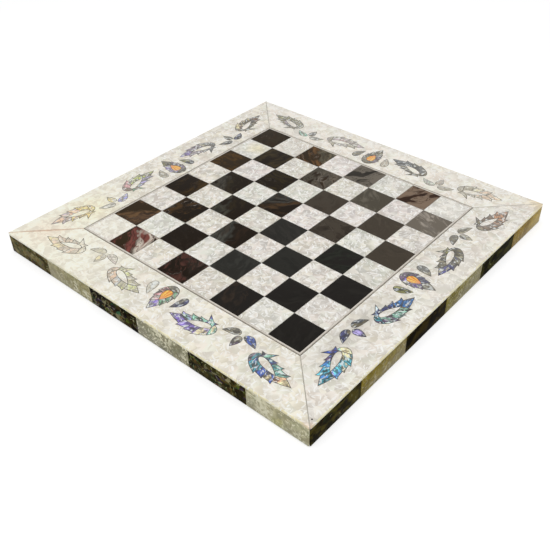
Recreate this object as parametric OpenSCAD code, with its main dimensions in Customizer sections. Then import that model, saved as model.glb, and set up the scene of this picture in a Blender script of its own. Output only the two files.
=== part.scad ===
// Inlaid chess board: a flat slab that lies on a table, with no moving part.
// A wooden core carries a facing of sixty-four tiles and four mitred border
// panels. Shell ornament is let into pockets in the panels, and a band of
// light and dark blocks covers the four edges. A sheet of felt lies beneath.
// The origin is under the middle of the board, on the table. +Z points up,
// the files run along +X, the ranks along +Y, and white sits at the -Y side.

/* [Playing field] */
// Side of one square, from joint to joint
square = 31.75; // [20:0.05:60]
// Open glue joint between two neighbouring tiles
tile_joint = 0.3; // [0.1:0.05:0.6]
// Width of the pale bead that runs round the tiles
bead_w = 1.2; // [0.6:0.1:3]
// Width of the dark line that runs round the bead
line_w = 0.8; // [0.4:0.1:2]

/* [Border] */
// Width of the border, from the outermost tiles to the edge of the board
border_w = 50.8; // [42:0.1:90]
// Width of the dark line along each mitre
mitre_line_w = 0.7; // [0.4:0.1:2]
// Radius of the four upright corners of the board
corner_r = 2; // [1:0.1:3]
// Width of the bevel round the top edge of the board
arris_w = 0.6; // [0.3:0.1:1.2]

/* [Slab] */
// Height of the slab, from the core's underside to the playing surface
slab_h = 20; // [12:0.5:40]
// Thickness of the tiles, the border panels and their lines
facing_t = 2; // [1.6:0.1:4]
// Clearance between two glued pieces of the facing or the edge
glue_gap = 0.05; // [0.02:0.01:0.1]
// Thickness of the felt
felt_t = 1; // [0.5:0.1:3]
// Distance that the felt stays back from the edge of the board
felt_inset = 3; // [2:0.5:15]
// Radius of the felt's corners
felt_corner_r = 4; // [1:0.5:12]

/* [Edge band] */
// Thickness of the blocks that cover the edge
band_t = 1.5; // [1:0.1:2]
// Number of blocks along one side
blocks_per_side = 6; // [2:2:12]
// Open glue joint between two neighbouring blocks
block_joint = 0.3; // [0.1:0.05:0.6]

/* [Shell inlay] */
// Thickness of the shell pieces, which is also the depth of their pockets
shell_t = 1.2; // [0.6:0.1:1.4]
// Clearance between a shell piece and the wall of its pocket
pocket_gap = 0.2; // [0.05:0.01:0.2]
// Joint between two leaves of one wreath or one flower
leaf_joint = 0.24; // [0.06:0.01:0.35]

/* [Leaf wreath] */
// Length of a wreath, from its tip to its round end
wreath_l = 44.8; // [36:0.1:54]
// Width of a wreath across its leaves, without their points
wreath_w = 16.4; // [12:0.1:20]
// Slope of a wreath against the side of the board, in degrees
wreath_slope = 9; // [0:1:20]
// How far a wreath's axis bows out towards the edge of the board
wreath_bow = 0.8; // [0:0.1:2]
// Distance from the tip to the start of the opening
wreath_hole_start = 16; // [13:0.1:19]
// Length of the opening in a wreath
wreath_hole_l = 23; // [18:0.1:26]
// Width of the opening in a wreath
wreath_hole_w = 6.6; // [4:0.1:8]
// Slope of the opening against the wreath's own axis, in degrees
wreath_hole_turn = 9; // [0:1:12]
// Depth of a wreath's tip into the border
wreath_tip_depth = 31; // [28:0.1:34]
// How far a corner wreath's tip reaches past the corner of the field
corner_reach = 17.3; // [8:0.1:20]

/* [Petal sprig] */
// Length of each side petal in a sprig
petal_l = 16; // [12:0.1:18]
// Width of each petal in a sprig
petal_w = 7.2; // [5:0.1:9]
// Slope of the two side petals, in degrees
petal_slope = 21; // [10:1:30]
// How far a side petal bows up towards the field
petal_bow = 1.2; // [0:0.1:2]
// Half of the gap between the round ends of the two side petals
petal_spread = 2.2; // [1.6:0.1:5]
// Depth of the side petals' round ends into the border
petal_depth = 12.6; // [10:0.1:16]
// Length of the petal that points outwards
middle_petal_l = 12.6; // [10:0.1:16]
// Clearance along the sprig's axis between the side petals and the middle one
middle_petal_drop = 2.8; // [2:0.1:6]
// Clear run between a sprig and the wreath on either side of it
sprig_gap = 1.4; // [0.5:0.1:8]

/* [Single petal] */
// Length of a single petal
single_l = 17; // [12:0.1:19]
// Width of a single petal
single_w = 8; // [5:0.1:9]
// Slope of a single petal away from square to the side, in degrees
single_slope = 18; // [5:1:25]
// How far a single petal bows away from the flower
single_bow = 1; // [0:0.1:2]
// Depth of a single petal's round end into the border
single_depth = 10.6; // [8:0.1:14]
// How far the middle wreath's tip is tucked in below the single petal
single_tuck = 4.2; // [0:0.1:6]

/* [Flower] */
// Length of a flower, from its round end to its tip
flower_l = 34; // [28:0.1:36]
// Width of a flower, without the points of its petals
flower_w = 16.6; // [14:0.1:20]
// Depth of a flower's round end into the border
flower_depth = 5.6; // [4:0.1:7]
// Distance from the flower's tip to the start of its centre
flower_hole_start = 13.8; // [11:0.1:15]
// Length of the flower's centre
flower_hole_l = 14; // [10:0.1:16]
// Width of the flower's centre
flower_hole_w = 8.8; // [6:0.1:10]
// Clear run between a flower and the single petal on either side of it
flower_gap = 5.2; // [4:0.1:12]

/* [Hidden] */
SIDES = ["front", "right", "back", "left"];
side_numbers = [0:len(SIDES) - 1];
squares_per_side = 8;
RANKS = [for (rank = [1:squares_per_side]) rank];

$fn = 48;

// A solid that cuts right through another one reaches this far past it.
past = 1;

// Heights, counted from the table.
core_t = slab_h - facing_t;
core_top = felt_t + core_t;
board_top = core_top + facing_t;
pocket_floor = board_top - shell_t;

// Distances from the middle of the board, square to a side.
field_half = squares_per_side * square / 2;
bead_half = field_half + bead_w;
line_half = bead_half + line_w;
board_half = field_half + border_w;
core_half = board_half - band_t - glue_gap;

// Half of a strip's width becomes this run along a side where it is cut at 45 degrees.
mitre_run = mitre_line_w / sqrt(2);

// One row of ornament fills half a side, from the middle to a corner wreath's tip. Its
// pieces have the sizes above when the row's own length is the room that the side gives.
wreath_run = wreath_l * cos(wreath_slope);
sprig_half = petal_spread + petal_l * cos(petal_slope);
single_tip_at = flower_w / 2 + flower_gap;
single_run = single_l * sin(single_slope) + single_w / 2;
middle_tip_at = single_tip_at + single_run - single_tuck;
sprig_at = middle_tip_at + wreath_run + sprig_gap + sprig_half;
corner_tip_at = sprig_at + sprig_half + sprig_gap + wreath_run;
row_scale = (field_half + corner_reach) / corner_tip_at;

// The points of a leaf wreath. Each joint between two leaves is given as its place on the
// outer edge, its place on the edge of the opening, both from 0 at the tip to 1 at the round
// end, and how far the point of the leaf that starts there stands out. At the last joint it
// is the leaf that ends there that has a point, and that one faces the round end.
WREATH_FIELD_SIDE = [[0.21, 0, 3.4], [0.40, 0.2, 2.8], [0.56, 0.45, 1.8], [0.73, 0.68, 7], [0.88, 1, 2]];
WREATH_OUTER_SIDE = [[0.30, 0, 2.6], [0.48, 0.34, 1.8], [0.66, 0.68, 2.2], [0.90, 1, 0]];
FLOWER_SIDE = [[0.27, 0, 1.0], [0.46, 0.28, 1.2], [0.66, 0.60, 1.2], [0.87, 1, 0]];

// How far a leaf's point leans along the wreath, as a share of how far it stands out.
point_lean = 0.35;
end_point_lean = 1;

// Places along a leaf's outer edge, and how much of its point's height is left there.
LEAF_EDGE = [[0.22, 0.52], [0.5, 0.3], [0.78, 0.14]];

// Numbers of straight runs that an outline's curves are made of: round a whole petal, along the
// outer edge of a tip leaf, round the outer edge of a cap leaf, and along a leaf's inner edge.
petal_steps = 9;
tip_steps = 4;
cap_steps = 3;
inner_steps = 3;

// Half of a teardrop's width at a place from 0 at its tip to 1 at its round end.
// The curve is widest two thirds of the way along, where it reaches w / 2.
drop_peak = 2 / (3 * sqrt(3));
function drop_half(at, w) = w / 2 * at * sqrt(max(0, 1 - at)) / drop_peak;

// A point on a teardrop's edge, on its left side where side is 1 and on its right where it
// is -1. The axis runs along +X from the tip and bows out to the left.
function drop_point(at, l, w, side, bow) =
    [at * l, side * drop_half(at, w) + 4 * bow * at * (1 - at)];

// Places along a teardrop that lie close together at its round end.
function drop_places(from, to, steps) =
    let (a = acos(1 - 2 * from), b = acos(1 - 2 * to))
    [for (i = [0:steps]) (1 - cos(a + (b - a) * i / steps)) / 2];

// A whole teardrop's outline, counterclockwise, with its tip at the origin.
function drop_outline(l, w, bow) =
    let (places = drop_places(0, 1, petal_steps))
    concat(
        [for (at = places) drop_point(at, l, w, -1, bow)],
        [for (i = [1:petal_steps - 1]) drop_point(places[petal_steps - i], l, w, 1, bow)]
    );

// A point on the edge of the opening, at a place from 0 at its pointed end to 1 at its round end.
// form holds length, width and bow, then the opening's start, length, width and turn.
function hole_point(at, form, side) =
    let (
        start = [form[3], 4 * form[2] * form[3] / form[0] * (1 - form[3] / form[0])],
        along = at * form[4],
        across = side * drop_half(at, form[5]),
        turn = form[6]
    )
    start + [along * cos(turn) - across * sin(turn), along * sin(turn) + across * cos(turn)];

// The outer edge of leaf i on one side, from its point towards the next joint.
function leaf_edge(joints, i, form, side) =
    let (
        start = joints[i][0],
        end = joints[i + 1][0],
        rise = joints[i][2],
        end_rise = i == len(joints) - 2 ? joints[i + 1][2] : 0,
        root = drop_point(start, form[0], form[1], side, form[2]),
        end_root = drop_point(end, form[0], form[1], side, form[2])
    )
    concat(
        [root, root + [-point_lean * rise, side * rise]],
        [for (e = LEAF_EDGE)
            drop_point(start + e[0] * (end - start), form[0], form[1], side, form[2])
                + [0, side * max(rise * e[1], end_rise * e[0])]],
        end_rise > 0 ? [end_root + [end_point_lean * end_rise, side * end_rise]] : []
    );

// The inner edge of leaf i on one side, from its own joint to the next one.
function inner_edge(joints, i, form, side) =
    [for (at = drop_places(joints[i][1], joints[i + 1][1], inner_steps)) hole_point(at, form, side)];

// One leaf's outline, counterclockwise.
function leaf_outline(joints, i, form, side) =
    let (
        end = drop_point(joints[i + 1][0], form[0], form[1], side, form[2]),
        ring = concat(
            leaf_edge(joints, i, form, side),
            [end],
            reversed(inner_edge(joints, i, form, side))
        )
    )
    side < 0 ? ring : reversed(ring);

// The outer edge of a tip leaf on one side, from the point of the tip to the first joint.
function tip_edge(joints, form, side) =
    [for (k = [0:tip_steps]) drop_point(joints[0][0] * k / tip_steps, form[0], form[1], side, form[2])];

// The outer edge of a cap leaf on one side, from the last joint to the middle of the round end.
function cap_edge(joints, form, side) =
    [for (at = drop_places(joints[len(joints) - 1][0], 1, cap_steps))
        drop_point(at, form[0], form[1], side, form[2])];

// The leaf that forms the tip, from the first joint on one side to that on the other.
function tip_outline(upper, lower, form) = concat(
    [hole_point(0, form, 1)],
    reversed(tip_edge(upper, form, 1)),
    without_first(tip_edge(lower, form, -1))
);

// The leaf that closes the round end.
function cap_outline(upper, lower, form) = concat(
    [hole_point(1, form, 1)],
    cap_edge(lower, form, -1),
    without_first(reversed(cap_edge(upper, form, 1)))
);

// The outer outline of a whole ring of leaves, counterclockwise.
function ring_outline(upper, lower, form) = concat(
    without_last(tip_edge(lower, form, -1)),
    [for (i = [0:len(lower) - 2]) each leaf_edge(lower, i, form, -1)],
    cap_edge(lower, form, -1),
    without_first(reversed(cap_edge(upper, form, 1))),
    reversed([for (i = [0:len(upper) - 2]) each leaf_edge(upper, i, form, 1)]),
    without_first(without_last(reversed(tip_edge(upper, form, 1))))
);

// All but the first point of a list.
function without_first(points) = [for (i = [1:1:len(points) - 1]) points[i]];

// All but the last point of a list.
function without_last(points) = [for (i = [0:1:len(points) - 2]) points[i]];

// The opening's outline, counterclockwise, along the inner edges of the leaves around it.
function hole_outline(upper, lower, form) =
    let (
        outer_side = [for (i = [0:len(lower) - 2]) each without_last(inner_edge(lower, i, form, -1))],
        field_side = [for (i = [0:len(upper) - 2]) each without_last(inner_edge(upper, i, form, 1))]
    )
    concat(outer_side, [hole_point(1, form, 1)], without_last(reversed(field_side)));

// A list in the opposite order.
function reversed(points) = [for (i = [len(points) - 1:-1:0]) points[i]];

function unit(v) = v / norm(v);
function right_of(v) = [v[1], -v[0]];

// A counterclockwise outline whose every edge has moved outwards by a distance, or inwards
// where it is negative. A sharp corner moves no further than longest times that distance.
longest = 3;
flattest = 0.01;
function grown(points, by) =
    let (n = len(points))
    [for (i = [0:n - 1])
        let (
            before = right_of(unit(points[i] - points[(i + n - 1) % n])),
            after = right_of(unit(points[(i + 1) % n] - points[i])),
            middle = unit(before + after),
            reach = min(longest, 1 / max(flattest, middle * before))
        )
        points[i] + middle * by * reach];

// Forms of the two rings of leaves.
wreath_form = [
    wreath_l, wreath_w, -wreath_bow, wreath_hole_start, wreath_hole_l, wreath_hole_w, wreath_hole_turn
];
flower_form = [flower_l, flower_w, 0, flower_hole_start, flower_hole_l, flower_hole_w, 0];

// A flat shell piece lying in its pocket.
module shell_piece(points) {
    linear_extrude(shell_t) polygon(points);
}

// The leaves of a wreath or a flower, each cut back by half a joint.
module leaf_ring(upper, lower, form) {
    shell_piece(grown(tip_outline(upper, lower, form), -leaf_joint / 2));
    shell_piece(grown(cap_outline(upper, lower, form), -leaf_joint / 2));
    for (i = [0:len(upper) - 2])
        shell_piece(grown(leaf_outline(upper, i, form, 1), -leaf_joint / 2));
    for (i = [0:len(lower) - 2])
        shell_piece(grown(leaf_outline(lower, i, form, -1), -leaf_joint / 2));
}

// The pocket for a ring of leaves, which leaves the panel standing in its opening.
module ring_pocket(upper, lower, form, open) {
    linear_extrude(shell_t + past)
        difference() {
            polygon(grown(ring_outline(upper, lower, form), pocket_gap));
            if (open) polygon(grown(hole_outline(upper, lower, form), -pocket_gap));
        }
}

module petal(l, w, bow) {
    shell_piece(drop_outline(l, w, bow));
}

module petal_pocket(l, w, bow) {
    linear_extrude(shell_t + past) polygon(grown(drop_outline(l, w, bow), pocket_gap));
}

// Places for the ornament of the front side. A piece's tip goes to a distance from the middle
// of the side and a depth into the border, and its axis turns by an angle from +X.
module at_front(along, depth, turn) {
    translate([along * row_scale, -field_half - depth * row_scale, pocket_floor])
        rotate([0, 0, turn]) scale([row_scale, row_scale, 1]) children();
}

// The same piece on the left and on the right half of a side.
module both_halves() {
    children();
    mirror([1, 0, 0]) children();
}

module at_corner_wreath() {
    both_halves() at_front(-corner_tip_at, wreath_tip_depth, wreath_slope) children();
}

module at_middle_wreath() {
    both_halves() at_front(middle_tip_at, wreath_tip_depth, wreath_slope) children();
}

module at_side_petals() {
    tip_depth = petal_depth + petal_l * sin(petal_slope);
    both_halves() {
        at_front(-sprig_at - sprig_half, tip_depth, petal_slope) children();
        at_front(-sprig_at + sprig_half, tip_depth, 180 - petal_slope) mirror([0, 1, 0]) children();
    }
}

module at_middle_petal() {
    tip_depth = petal_depth + middle_petal_drop + middle_petal_l;
    both_halves() at_front(-sprig_at, tip_depth, 90) children();
}

module at_single_petal() {
    tip_depth = single_depth + single_l * cos(single_slope);
    both_halves() at_front(-single_tip_at, tip_depth, 90 + single_slope) children();
}

module at_flower() {
    at_front(0, flower_depth + flower_l, 90) children();
}

// The front side's work, turned to side i.
module on_side(i) {
    rotate([0, 0, 90 * i]) children();
}

// The upright outline of the whole board, cut to any height.
module board_outline(h) {
    side = 2 * (board_half - corner_r);
    linear_extrude(h)
        union() {
            square([side + 2 * corner_r, side], center = true);
            square([side, side + 2 * corner_r], center = true);
            for (x = [-1, 1], y = [-1, 1])
                translate([x * side / 2, y * side / 2]) circle(r = corner_r);
        }
}

// A strip along the front side of a square ring, mitred at both ends.
module mitred_strip(inner, outer, h) {
    linear_extrude(h)
        polygon([[-outer, -outer], [outer, -outer], [inner, -inner], [-inner, -inner]]);
}

// The board's core, a solid sheet that everything else is glued to.
module core_panel() {
    color("burlywood")
        translate([-core_half, -core_half, felt_t])
            cube([2 * core_half, 2 * core_half, core_t]);
}

// The felt under the core.
module felt_base() {
    half = board_half - felt_inset;
    color("darkgreen")
        linear_extrude(felt_t)
            union() {
                square([2 * half, 2 * (half - felt_corner_r)], center = true);
                square([2 * (half - felt_corner_r), 2 * half], center = true);
                for (x = [-1, 1], y = [-1, 1])
                    translate([x * (half - felt_corner_r), y * (half - felt_corner_r)])
                        circle(r = felt_corner_r);
            }
}

// Four tiles of one colour in one rank. The squares whose file and rank add up to an even
// number are dark, so that each player has a light square at the right hand.
module rank_tiles(rank, dark) {
    for (file = [1:squares_per_side])
        if (((file + rank) % 2 == 0) == dark)
            translate([
                (file - 1) * square - field_half + tile_joint / 2,
                (rank - 1) * square - field_half + tile_joint / 2,
                core_top
            ])
                cube([square - tile_joint, square - tile_joint, facing_t]);
}

module light_tiles(rank) {
    color("gainsboro") rank_tiles(rank, false);
}

module dark_tiles(rank) {
    color([0.09, 0.08, 0.08]) rank_tiles(rank, true);
}

// The pale strips between the outermost tiles and the dark line.
module field_bead() {
    color("whitesmoke")
        for (i = side_numbers)
            on_side(i)
                translate([0, 0, core_top])
                    mitred_strip(field_half, bead_half - glue_gap, facing_t);
}

// One side of the dark line round the field.
module field_line(i) {
    color("dimgray")
        on_side(i)
            translate([0, 0, core_top])
                mitred_strip(bead_half, line_half - glue_gap, facing_t);
}

// The line along the mitre at the left end of a side, from the field's corner to the board's.
module mitre_line(i) {
    color("darkgray")
        on_side(i)
            intersection() {
                translate([0, 0, core_top])
                    linear_extrude(facing_t)
                        polygon([
                            [-line_half, -line_half],
                            [-line_half, -line_half - mitre_run],
                            [-board_half + mitre_run, -board_half],
                            [-board_half, -board_half],
                            [-board_half, -board_half + mitre_run],
                            [-line_half - mitre_run, -line_half]
                        ]);
                translate([0, 0, core_top]) board_outline(facing_t);
            }
}

// One side of the border, between the field's line and the edge of the board. Its ends are
// mitred, its top edge is bevelled, and it has a pocket for each piece of ornament.
module border_panel(i) {
    inner = line_half;
    outer = board_half;
    back_off = mitre_run + glue_gap * sqrt(2);
    color("ivory")
        on_side(i)
            difference() {
                intersection() {
                    translate([0, 0, core_top])
                        linear_extrude(facing_t)
                            polygon([
                                [-inner, -inner - back_off],
                                [-outer + back_off, -outer],
                                [outer - back_off, -outer],
                                [inner, -inner - back_off]
                            ]);
                    translate([0, 0, core_top]) board_outline(facing_t);
                }
                for (turn = [-90, 0, 90])
                    rotate([0, 0, turn]) top_bevel();
                ornament_pockets();
            }
}

// What the bevel takes off the top edge of one side.
module top_bevel() {
    translate([-board_half - past, -board_half, board_top])
        rotate([90, 0, 90])
            linear_extrude(2 * (board_half + past))
                polygon([[-past, -arris_w - past], [-past, past], [arris_w + past, past]]);
}

module ornament_pockets() {
    at_corner_wreath() ring_pocket(WREATH_FIELD_SIDE, WREATH_OUTER_SIDE, wreath_form, true);
    at_middle_wreath() ring_pocket(WREATH_FIELD_SIDE, WREATH_OUTER_SIDE, wreath_form, true);
    at_side_petals() petal_pocket(petal_l, petal_w, petal_bow);
    at_middle_petal() petal_pocket(middle_petal_l, petal_w, 0);
    at_single_petal() petal_pocket(single_l, single_w, single_bow);
    at_flower() ring_pocket(FLOWER_SIDE, FLOWER_SIDE, flower_form, false);
}

// The two leaf wreaths whose tips point at the corners of a side.
module corner_wreaths(i) {
    color("steelblue")
        on_side(i) at_corner_wreath() leaf_ring(WREATH_FIELD_SIDE, WREATH_OUTER_SIDE, wreath_form);
}

// The two leaf wreaths whose tips point at the flower.
module middle_wreaths(i) {
    color("slateblue")
        on_side(i) at_middle_wreath() leaf_ring(WREATH_FIELD_SIDE, WREATH_OUTER_SIDE, wreath_form);
}

// The eight petals of a side: two sprigs of three, and one on each side of the flower.
module petals(i) {
    color("mediumpurple")
        on_side(i) {
            at_side_petals() petal(petal_l, petal_w, petal_bow);
            at_middle_petal() petal(middle_petal_l, petal_w, 0);
            at_single_petal() petal(single_l, single_w, single_bow);
        }
}

// The flower in the middle of a side.
module flower(i) {
    color("thistle") on_side(i) at_flower() leaf_ring(FLOWER_SIDE, FLOWER_SIDE, flower_form);
}

// The amber-coloured centre of a flower.
module flower_centre(i) {
    outline = hole_outline(FLOWER_SIDE, FLOWER_SIDE, flower_form);
    color("orange") on_side(i) at_flower() shell_piece(grown(outline, -leaf_joint / 2));
}

// Every other block of the band along one side. Seen from outside, the left one is dark.
module edge_blocks(i, first) {
    pitch = 2 * board_half / blocks_per_side;
    half_joint = block_joint / 2;
    on_side(i)
        intersection() {
            translate([0, 0, felt_t])
                for (k = [first:2:blocks_per_side - 1]) {
                    low = -board_half + k * pitch + (k == 0 ? block_joint / sqrt(2) : half_joint);
                    high = -board_half + (k + 1) * pitch
                        - (k == blocks_per_side - 1 ? block_joint / sqrt(2) : half_joint);
                    low_back = k == 0 ? low + band_t : low;
                    high_back = k == blocks_per_side - 1 ? high - band_t : high;
                    linear_extrude(core_t)
                        polygon([
                            [low, -board_half],
                            [high, -board_half],
                            [high_back, -board_half + band_t],
                            [low_back, -board_half + band_t]
                        ]);
                }
            translate([0, 0, felt_t]) board_outline(core_t);
        }
}

module light_edge_blocks(i) {
    color("darkkhaki") edge_blocks(i, 1);
}

module dark_edge_blocks(i) {
    color([0.16, 0.15, 0.12]) edge_blocks(i, 0);
}

core_panel();
felt_base();
field_bead();
for (rank = RANKS) {
    light_tiles(rank);
    dark_tiles(rank);
}
for (i = side_numbers) {
    field_line(i);
    mitre_line(i);
    border_panel(i);
    corner_wreaths(i);
    middle_wreaths(i);
    petals(i);
    flower(i);
    flower_centre(i);
    light_edge_blocks(i);
    dark_edge_blocks(i);
}
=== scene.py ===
"""The looks of an inlaid chess board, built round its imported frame.

Every length is in metres and every piece lies in the board's own frame: the origin is on the
table under the middle of the board, +X runs along the files from a to h, +Y along the ranks
from white to black, and +Z points up out of the playing surface.
"""

import logging
import math
import random
from collections.abc import Callable, Iterator, Sequence
from contextlib import contextmanager
from dataclasses import KW_ONLY, dataclass
from enum import Enum

import bmesh
import bpy
from bpy.types import Material, Mesh, Node, NodeSocket, NodeTree, Object
from mathutils import Matrix, Vector


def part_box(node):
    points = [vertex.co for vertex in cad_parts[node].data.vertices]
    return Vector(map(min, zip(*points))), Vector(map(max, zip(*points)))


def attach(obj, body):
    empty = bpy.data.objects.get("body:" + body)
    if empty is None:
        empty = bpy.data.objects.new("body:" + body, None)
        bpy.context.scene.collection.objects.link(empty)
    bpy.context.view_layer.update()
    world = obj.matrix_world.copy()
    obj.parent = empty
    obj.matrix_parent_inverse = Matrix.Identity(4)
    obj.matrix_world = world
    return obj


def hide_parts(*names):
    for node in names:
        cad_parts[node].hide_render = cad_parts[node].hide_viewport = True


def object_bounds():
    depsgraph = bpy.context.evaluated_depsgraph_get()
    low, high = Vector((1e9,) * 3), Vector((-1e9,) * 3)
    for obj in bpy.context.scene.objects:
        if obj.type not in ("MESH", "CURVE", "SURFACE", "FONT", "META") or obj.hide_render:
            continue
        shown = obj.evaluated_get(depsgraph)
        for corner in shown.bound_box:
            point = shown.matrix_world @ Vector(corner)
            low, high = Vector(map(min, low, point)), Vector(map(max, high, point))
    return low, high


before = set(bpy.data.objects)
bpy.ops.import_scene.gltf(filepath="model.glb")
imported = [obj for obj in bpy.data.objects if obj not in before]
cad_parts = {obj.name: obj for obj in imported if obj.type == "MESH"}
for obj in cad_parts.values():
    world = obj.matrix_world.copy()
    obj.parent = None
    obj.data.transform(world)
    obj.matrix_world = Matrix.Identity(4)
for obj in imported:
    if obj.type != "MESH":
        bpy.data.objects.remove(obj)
CAD_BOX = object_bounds()

log = logging.getLogger("chess_board")

MM = 0.001
BODY = "root"
FACING_FLOOR, TOP = (corner.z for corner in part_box("light_tiles_rank_1"))
POCKET_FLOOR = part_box("petals_front")[0].z
BOARD_HALF = CAD_BOX[1].x
HAIR = 0.01 * MM
FLAT_ANGLE = math.radians(0.5)
SMOOTH_ANGLE = math.radians(35)
UPRIGHT = 0.9

Colour = tuple[int, int, int]
Place = tuple[float, float, float]
Point = Callable[[Vector], Vector]


def linear(colour: Colour, alpha: float = 1.0) -> tuple[float, float, float, float]:
    """Turns a colour as a screen shows it into the shader's own linear values.

    Args:
        colour: Red, green and blue from 0 to 255.
        alpha: The fourth value.

    Returns:
        Linear red, green and blue from 0 to 1, and the fourth value.
    """
    shares = [value / 255 for value in colour]
    red, green, blue = (s / 12.92 if s <= 0.04045 else ((s + 0.055) / 1.055) ** 2.4 for s in shares)
    return red, green, blue, alpha


def nudged(colour: Colour, rng: random.Random, spread: float) -> Colour:
    """Gives a colour that is a little lighter or darker.

    Args:
        colour: The colour to start from.
        rng: The seeded source of chance.
        spread: The largest change, as a share of the colour.

    Returns:
        The changed colour.
    """
    share = 1 + rng.uniform(-spread, spread)
    red, green, blue = (max(0, min(255, round(value * share))) for value in colour)
    return red, green, blue


class Side(Enum):
    """The four sides of the board, each with the quarter turns that bring the front side there."""

    FRONT = 0
    RIGHT = 1
    BACK = 2
    LEFT = 3

    @property
    def label(self) -> str:
        """The side's name as the nodes spell it."""
        return self.name.lower()

    def as_front(self, point: Vector) -> Vector:
        """Turns a point of the board as if this side were the front one."""
        return Matrix.Rotation(-math.pi / 2 * self.value, 3, "Z") @ point


class Pick(Enum):
    """What a selection is made of."""

    VERTS = (True, False, False)
    EDGES = (False, True, False)
    FACES = (False, False, True)


def only(piece: Object) -> None:
    """Selects one piece alone, in object mode.

    Args:
        piece: The piece to select.
    """
    if bpy.context.mode != "OBJECT":
        bpy.ops.object.mode_set(mode="OBJECT")
    bpy.ops.object.select_all(action="DESELECT")
    piece.select_set(True)
    bpy.context.view_layer.objects.active = piece


@contextmanager
def editing(piece: Object) -> Iterator[None]:
    """Opens one piece in edit mode with nothing selected, and closes it afterwards.

    Args:
        piece: The piece to open.

    Yields:
        Nothing, while the piece is open.
    """
    only(piece)
    bpy.ops.object.mode_set(mode="EDIT")
    bpy.ops.mesh.select_all(action="DESELECT")
    yield
    bpy.ops.object.mode_set(mode="OBJECT")


def pick(piece: Object, kind: Pick, wanted: Callable[..., bool]) -> int:
    """Selects what a test accepts, in the piece that is open in edit mode.

    Args:
        piece: The piece that is open.
        kind: Vertices, edges or faces.
        wanted: Says of one vertex, edge or face whether it is selected.

    Returns:
        How many are selected.
    """
    bpy.context.tool_settings.mesh_select_mode = kind.value
    bpy.ops.mesh.select_all(action="DESELECT")
    sheet = bmesh.from_edit_mesh(piece.data)
    elements = {Pick.VERTS: sheet.verts, Pick.EDGES: sheet.edges, Pick.FACES: sheet.faces}[kind]
    chosen = [element for element in elements if wanted(element)]
    for element in chosen:
        element.select_set(True)
    bmesh.update_edit_mesh(piece.data)
    return len(chosen)


def placed(name: str, data: bpy.types.ID) -> Object:
    """Puts a new object with some data into the scene.

    Args:
        name: The object's name.
        data: Its mesh, lamp or camera.

    Returns:
        The new object.
    """
    item = bpy.data.objects.new(name, data)
    bpy.context.scene.collection.objects.link(item)
    return item


def copy_of(node: str, suffix: str) -> Object:
    """Copies a node of the frame as a clean mesh of flat faces.

    Args:
        node: The node's name.
        suffix: What the new piece's name adds to it.

    Returns:
        The new piece, whose loose triangles are merged.
    """
    name = f"{node}_{suffix}"
    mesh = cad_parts[node].data.copy()
    mesh.name = name
    mesh.materials.clear()
    piece = placed(name, mesh)
    with editing(piece):
        select_all()
        bpy.ops.mesh.remove_doubles(threshold=HAIR / 10)
        bpy.ops.mesh.dissolve_limited(angle_limit=FLAT_ANGLE)
        bpy.ops.mesh.customdata_custom_splitnormals_clear()
    return piece


def twin(piece: Object, name: str, shift: Sequence[float] = (0, 0, 0)) -> Object:
    """Copies a piece with its own mesh and moves the mesh.

    Args:
        piece: The piece to copy.
        name: The copy's name.
        shift: How far the copy lies from the piece.

    Returns:
        The copy, whose object sits at the origin.
    """
    mesh = piece.data.copy()
    mesh.transform(Matrix.Translation(shift))
    return placed(name, mesh)


def joined(pieces: Sequence[Object], name: str) -> Object:
    """Joins pieces into the first one.

    Args:
        pieces: The pieces to join.
        name: The joined piece's name.

    Returns:
        The joined piece.
    """
    only(pieces[0])
    for piece in pieces:
        piece.select_set(True)
    bpy.ops.object.join()
    pieces[0].name = pieces[0].data.name = name
    return pieces[0]


def scrapped(piece: Object) -> None:
    """Throws a helper piece away.

    Args:
        piece: The piece, whose mesh goes with it.
    """
    mesh = piece.data
    bpy.data.objects.remove(piece)
    bpy.data.meshes.remove(mesh)


def cut_away(piece: Object, cutter: Object) -> None:
    """Cuts one piece out of another and throws the cutter away.

    Args:
        piece: The piece that is cut.
        cutter: The piece that is taken out of it.
    """
    only(piece)
    cut = piece.modifiers.new("cut", "BOOLEAN")
    cut.operation = "DIFFERENCE"
    cut.solver = "EXACT"
    cut.object = cutter
    bpy.ops.object.modifier_apply(modifier=cut.name)
    scrapped(cutter)


def soften(piece: Object, width: float, segments: int, wanted: Callable[..., bool]) -> None:
    """Rounds the edges that a test accepts.

    Args:
        piece: The piece.
        width: How far the rounding reaches from an edge.
        segments: Into how many strips it is divided.
        wanted: Says of one edge whether it is rounded.
    """
    with editing(piece):
        if pick(piece, Pick.EDGES, wanted):
            bpy.ops.mesh.bevel(offset=width, segments=segments, affect="EDGES", clamp_overlap=False)


def smooth(piece: Object) -> None:
    """Shades a piece smooth except at its sharp edges."""
    only(piece)
    bpy.ops.object.shade_smooth_by_angle(angle=SMOOTH_ANGLE)


def is_sharp(edge: bmesh.types.BMEdge) -> bool:
    """Says whether two faces meet at an edge with a clear angle."""
    return edge.is_manifold and edge.calc_face_angle(0) > SMOOTH_ANGLE


def on_top_rim(edge: bmesh.types.BMEdge) -> bool:
    """Says whether an edge is a sharp one at the height of the playing surface."""
    return all(abs(vert.co.z - TOP) < HAIR for vert in edge.verts) and is_sharp(edge)


def faces_up_at(face: bmesh.types.BMFace, height: float) -> bool:
    """Says whether a face points up and lies at a height."""
    return face.normal.z > UPRIGHT and abs(face.calc_center_median().z - height) < HAIR


def select_all() -> None:
    """Selects all of the open piece."""
    bpy.ops.mesh.select_all(action="SELECT")


def move_all(shift: Place) -> None:
    """Moves all of the open piece."""
    select_all()
    bpy.ops.transform.translate(value=shift)


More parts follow.
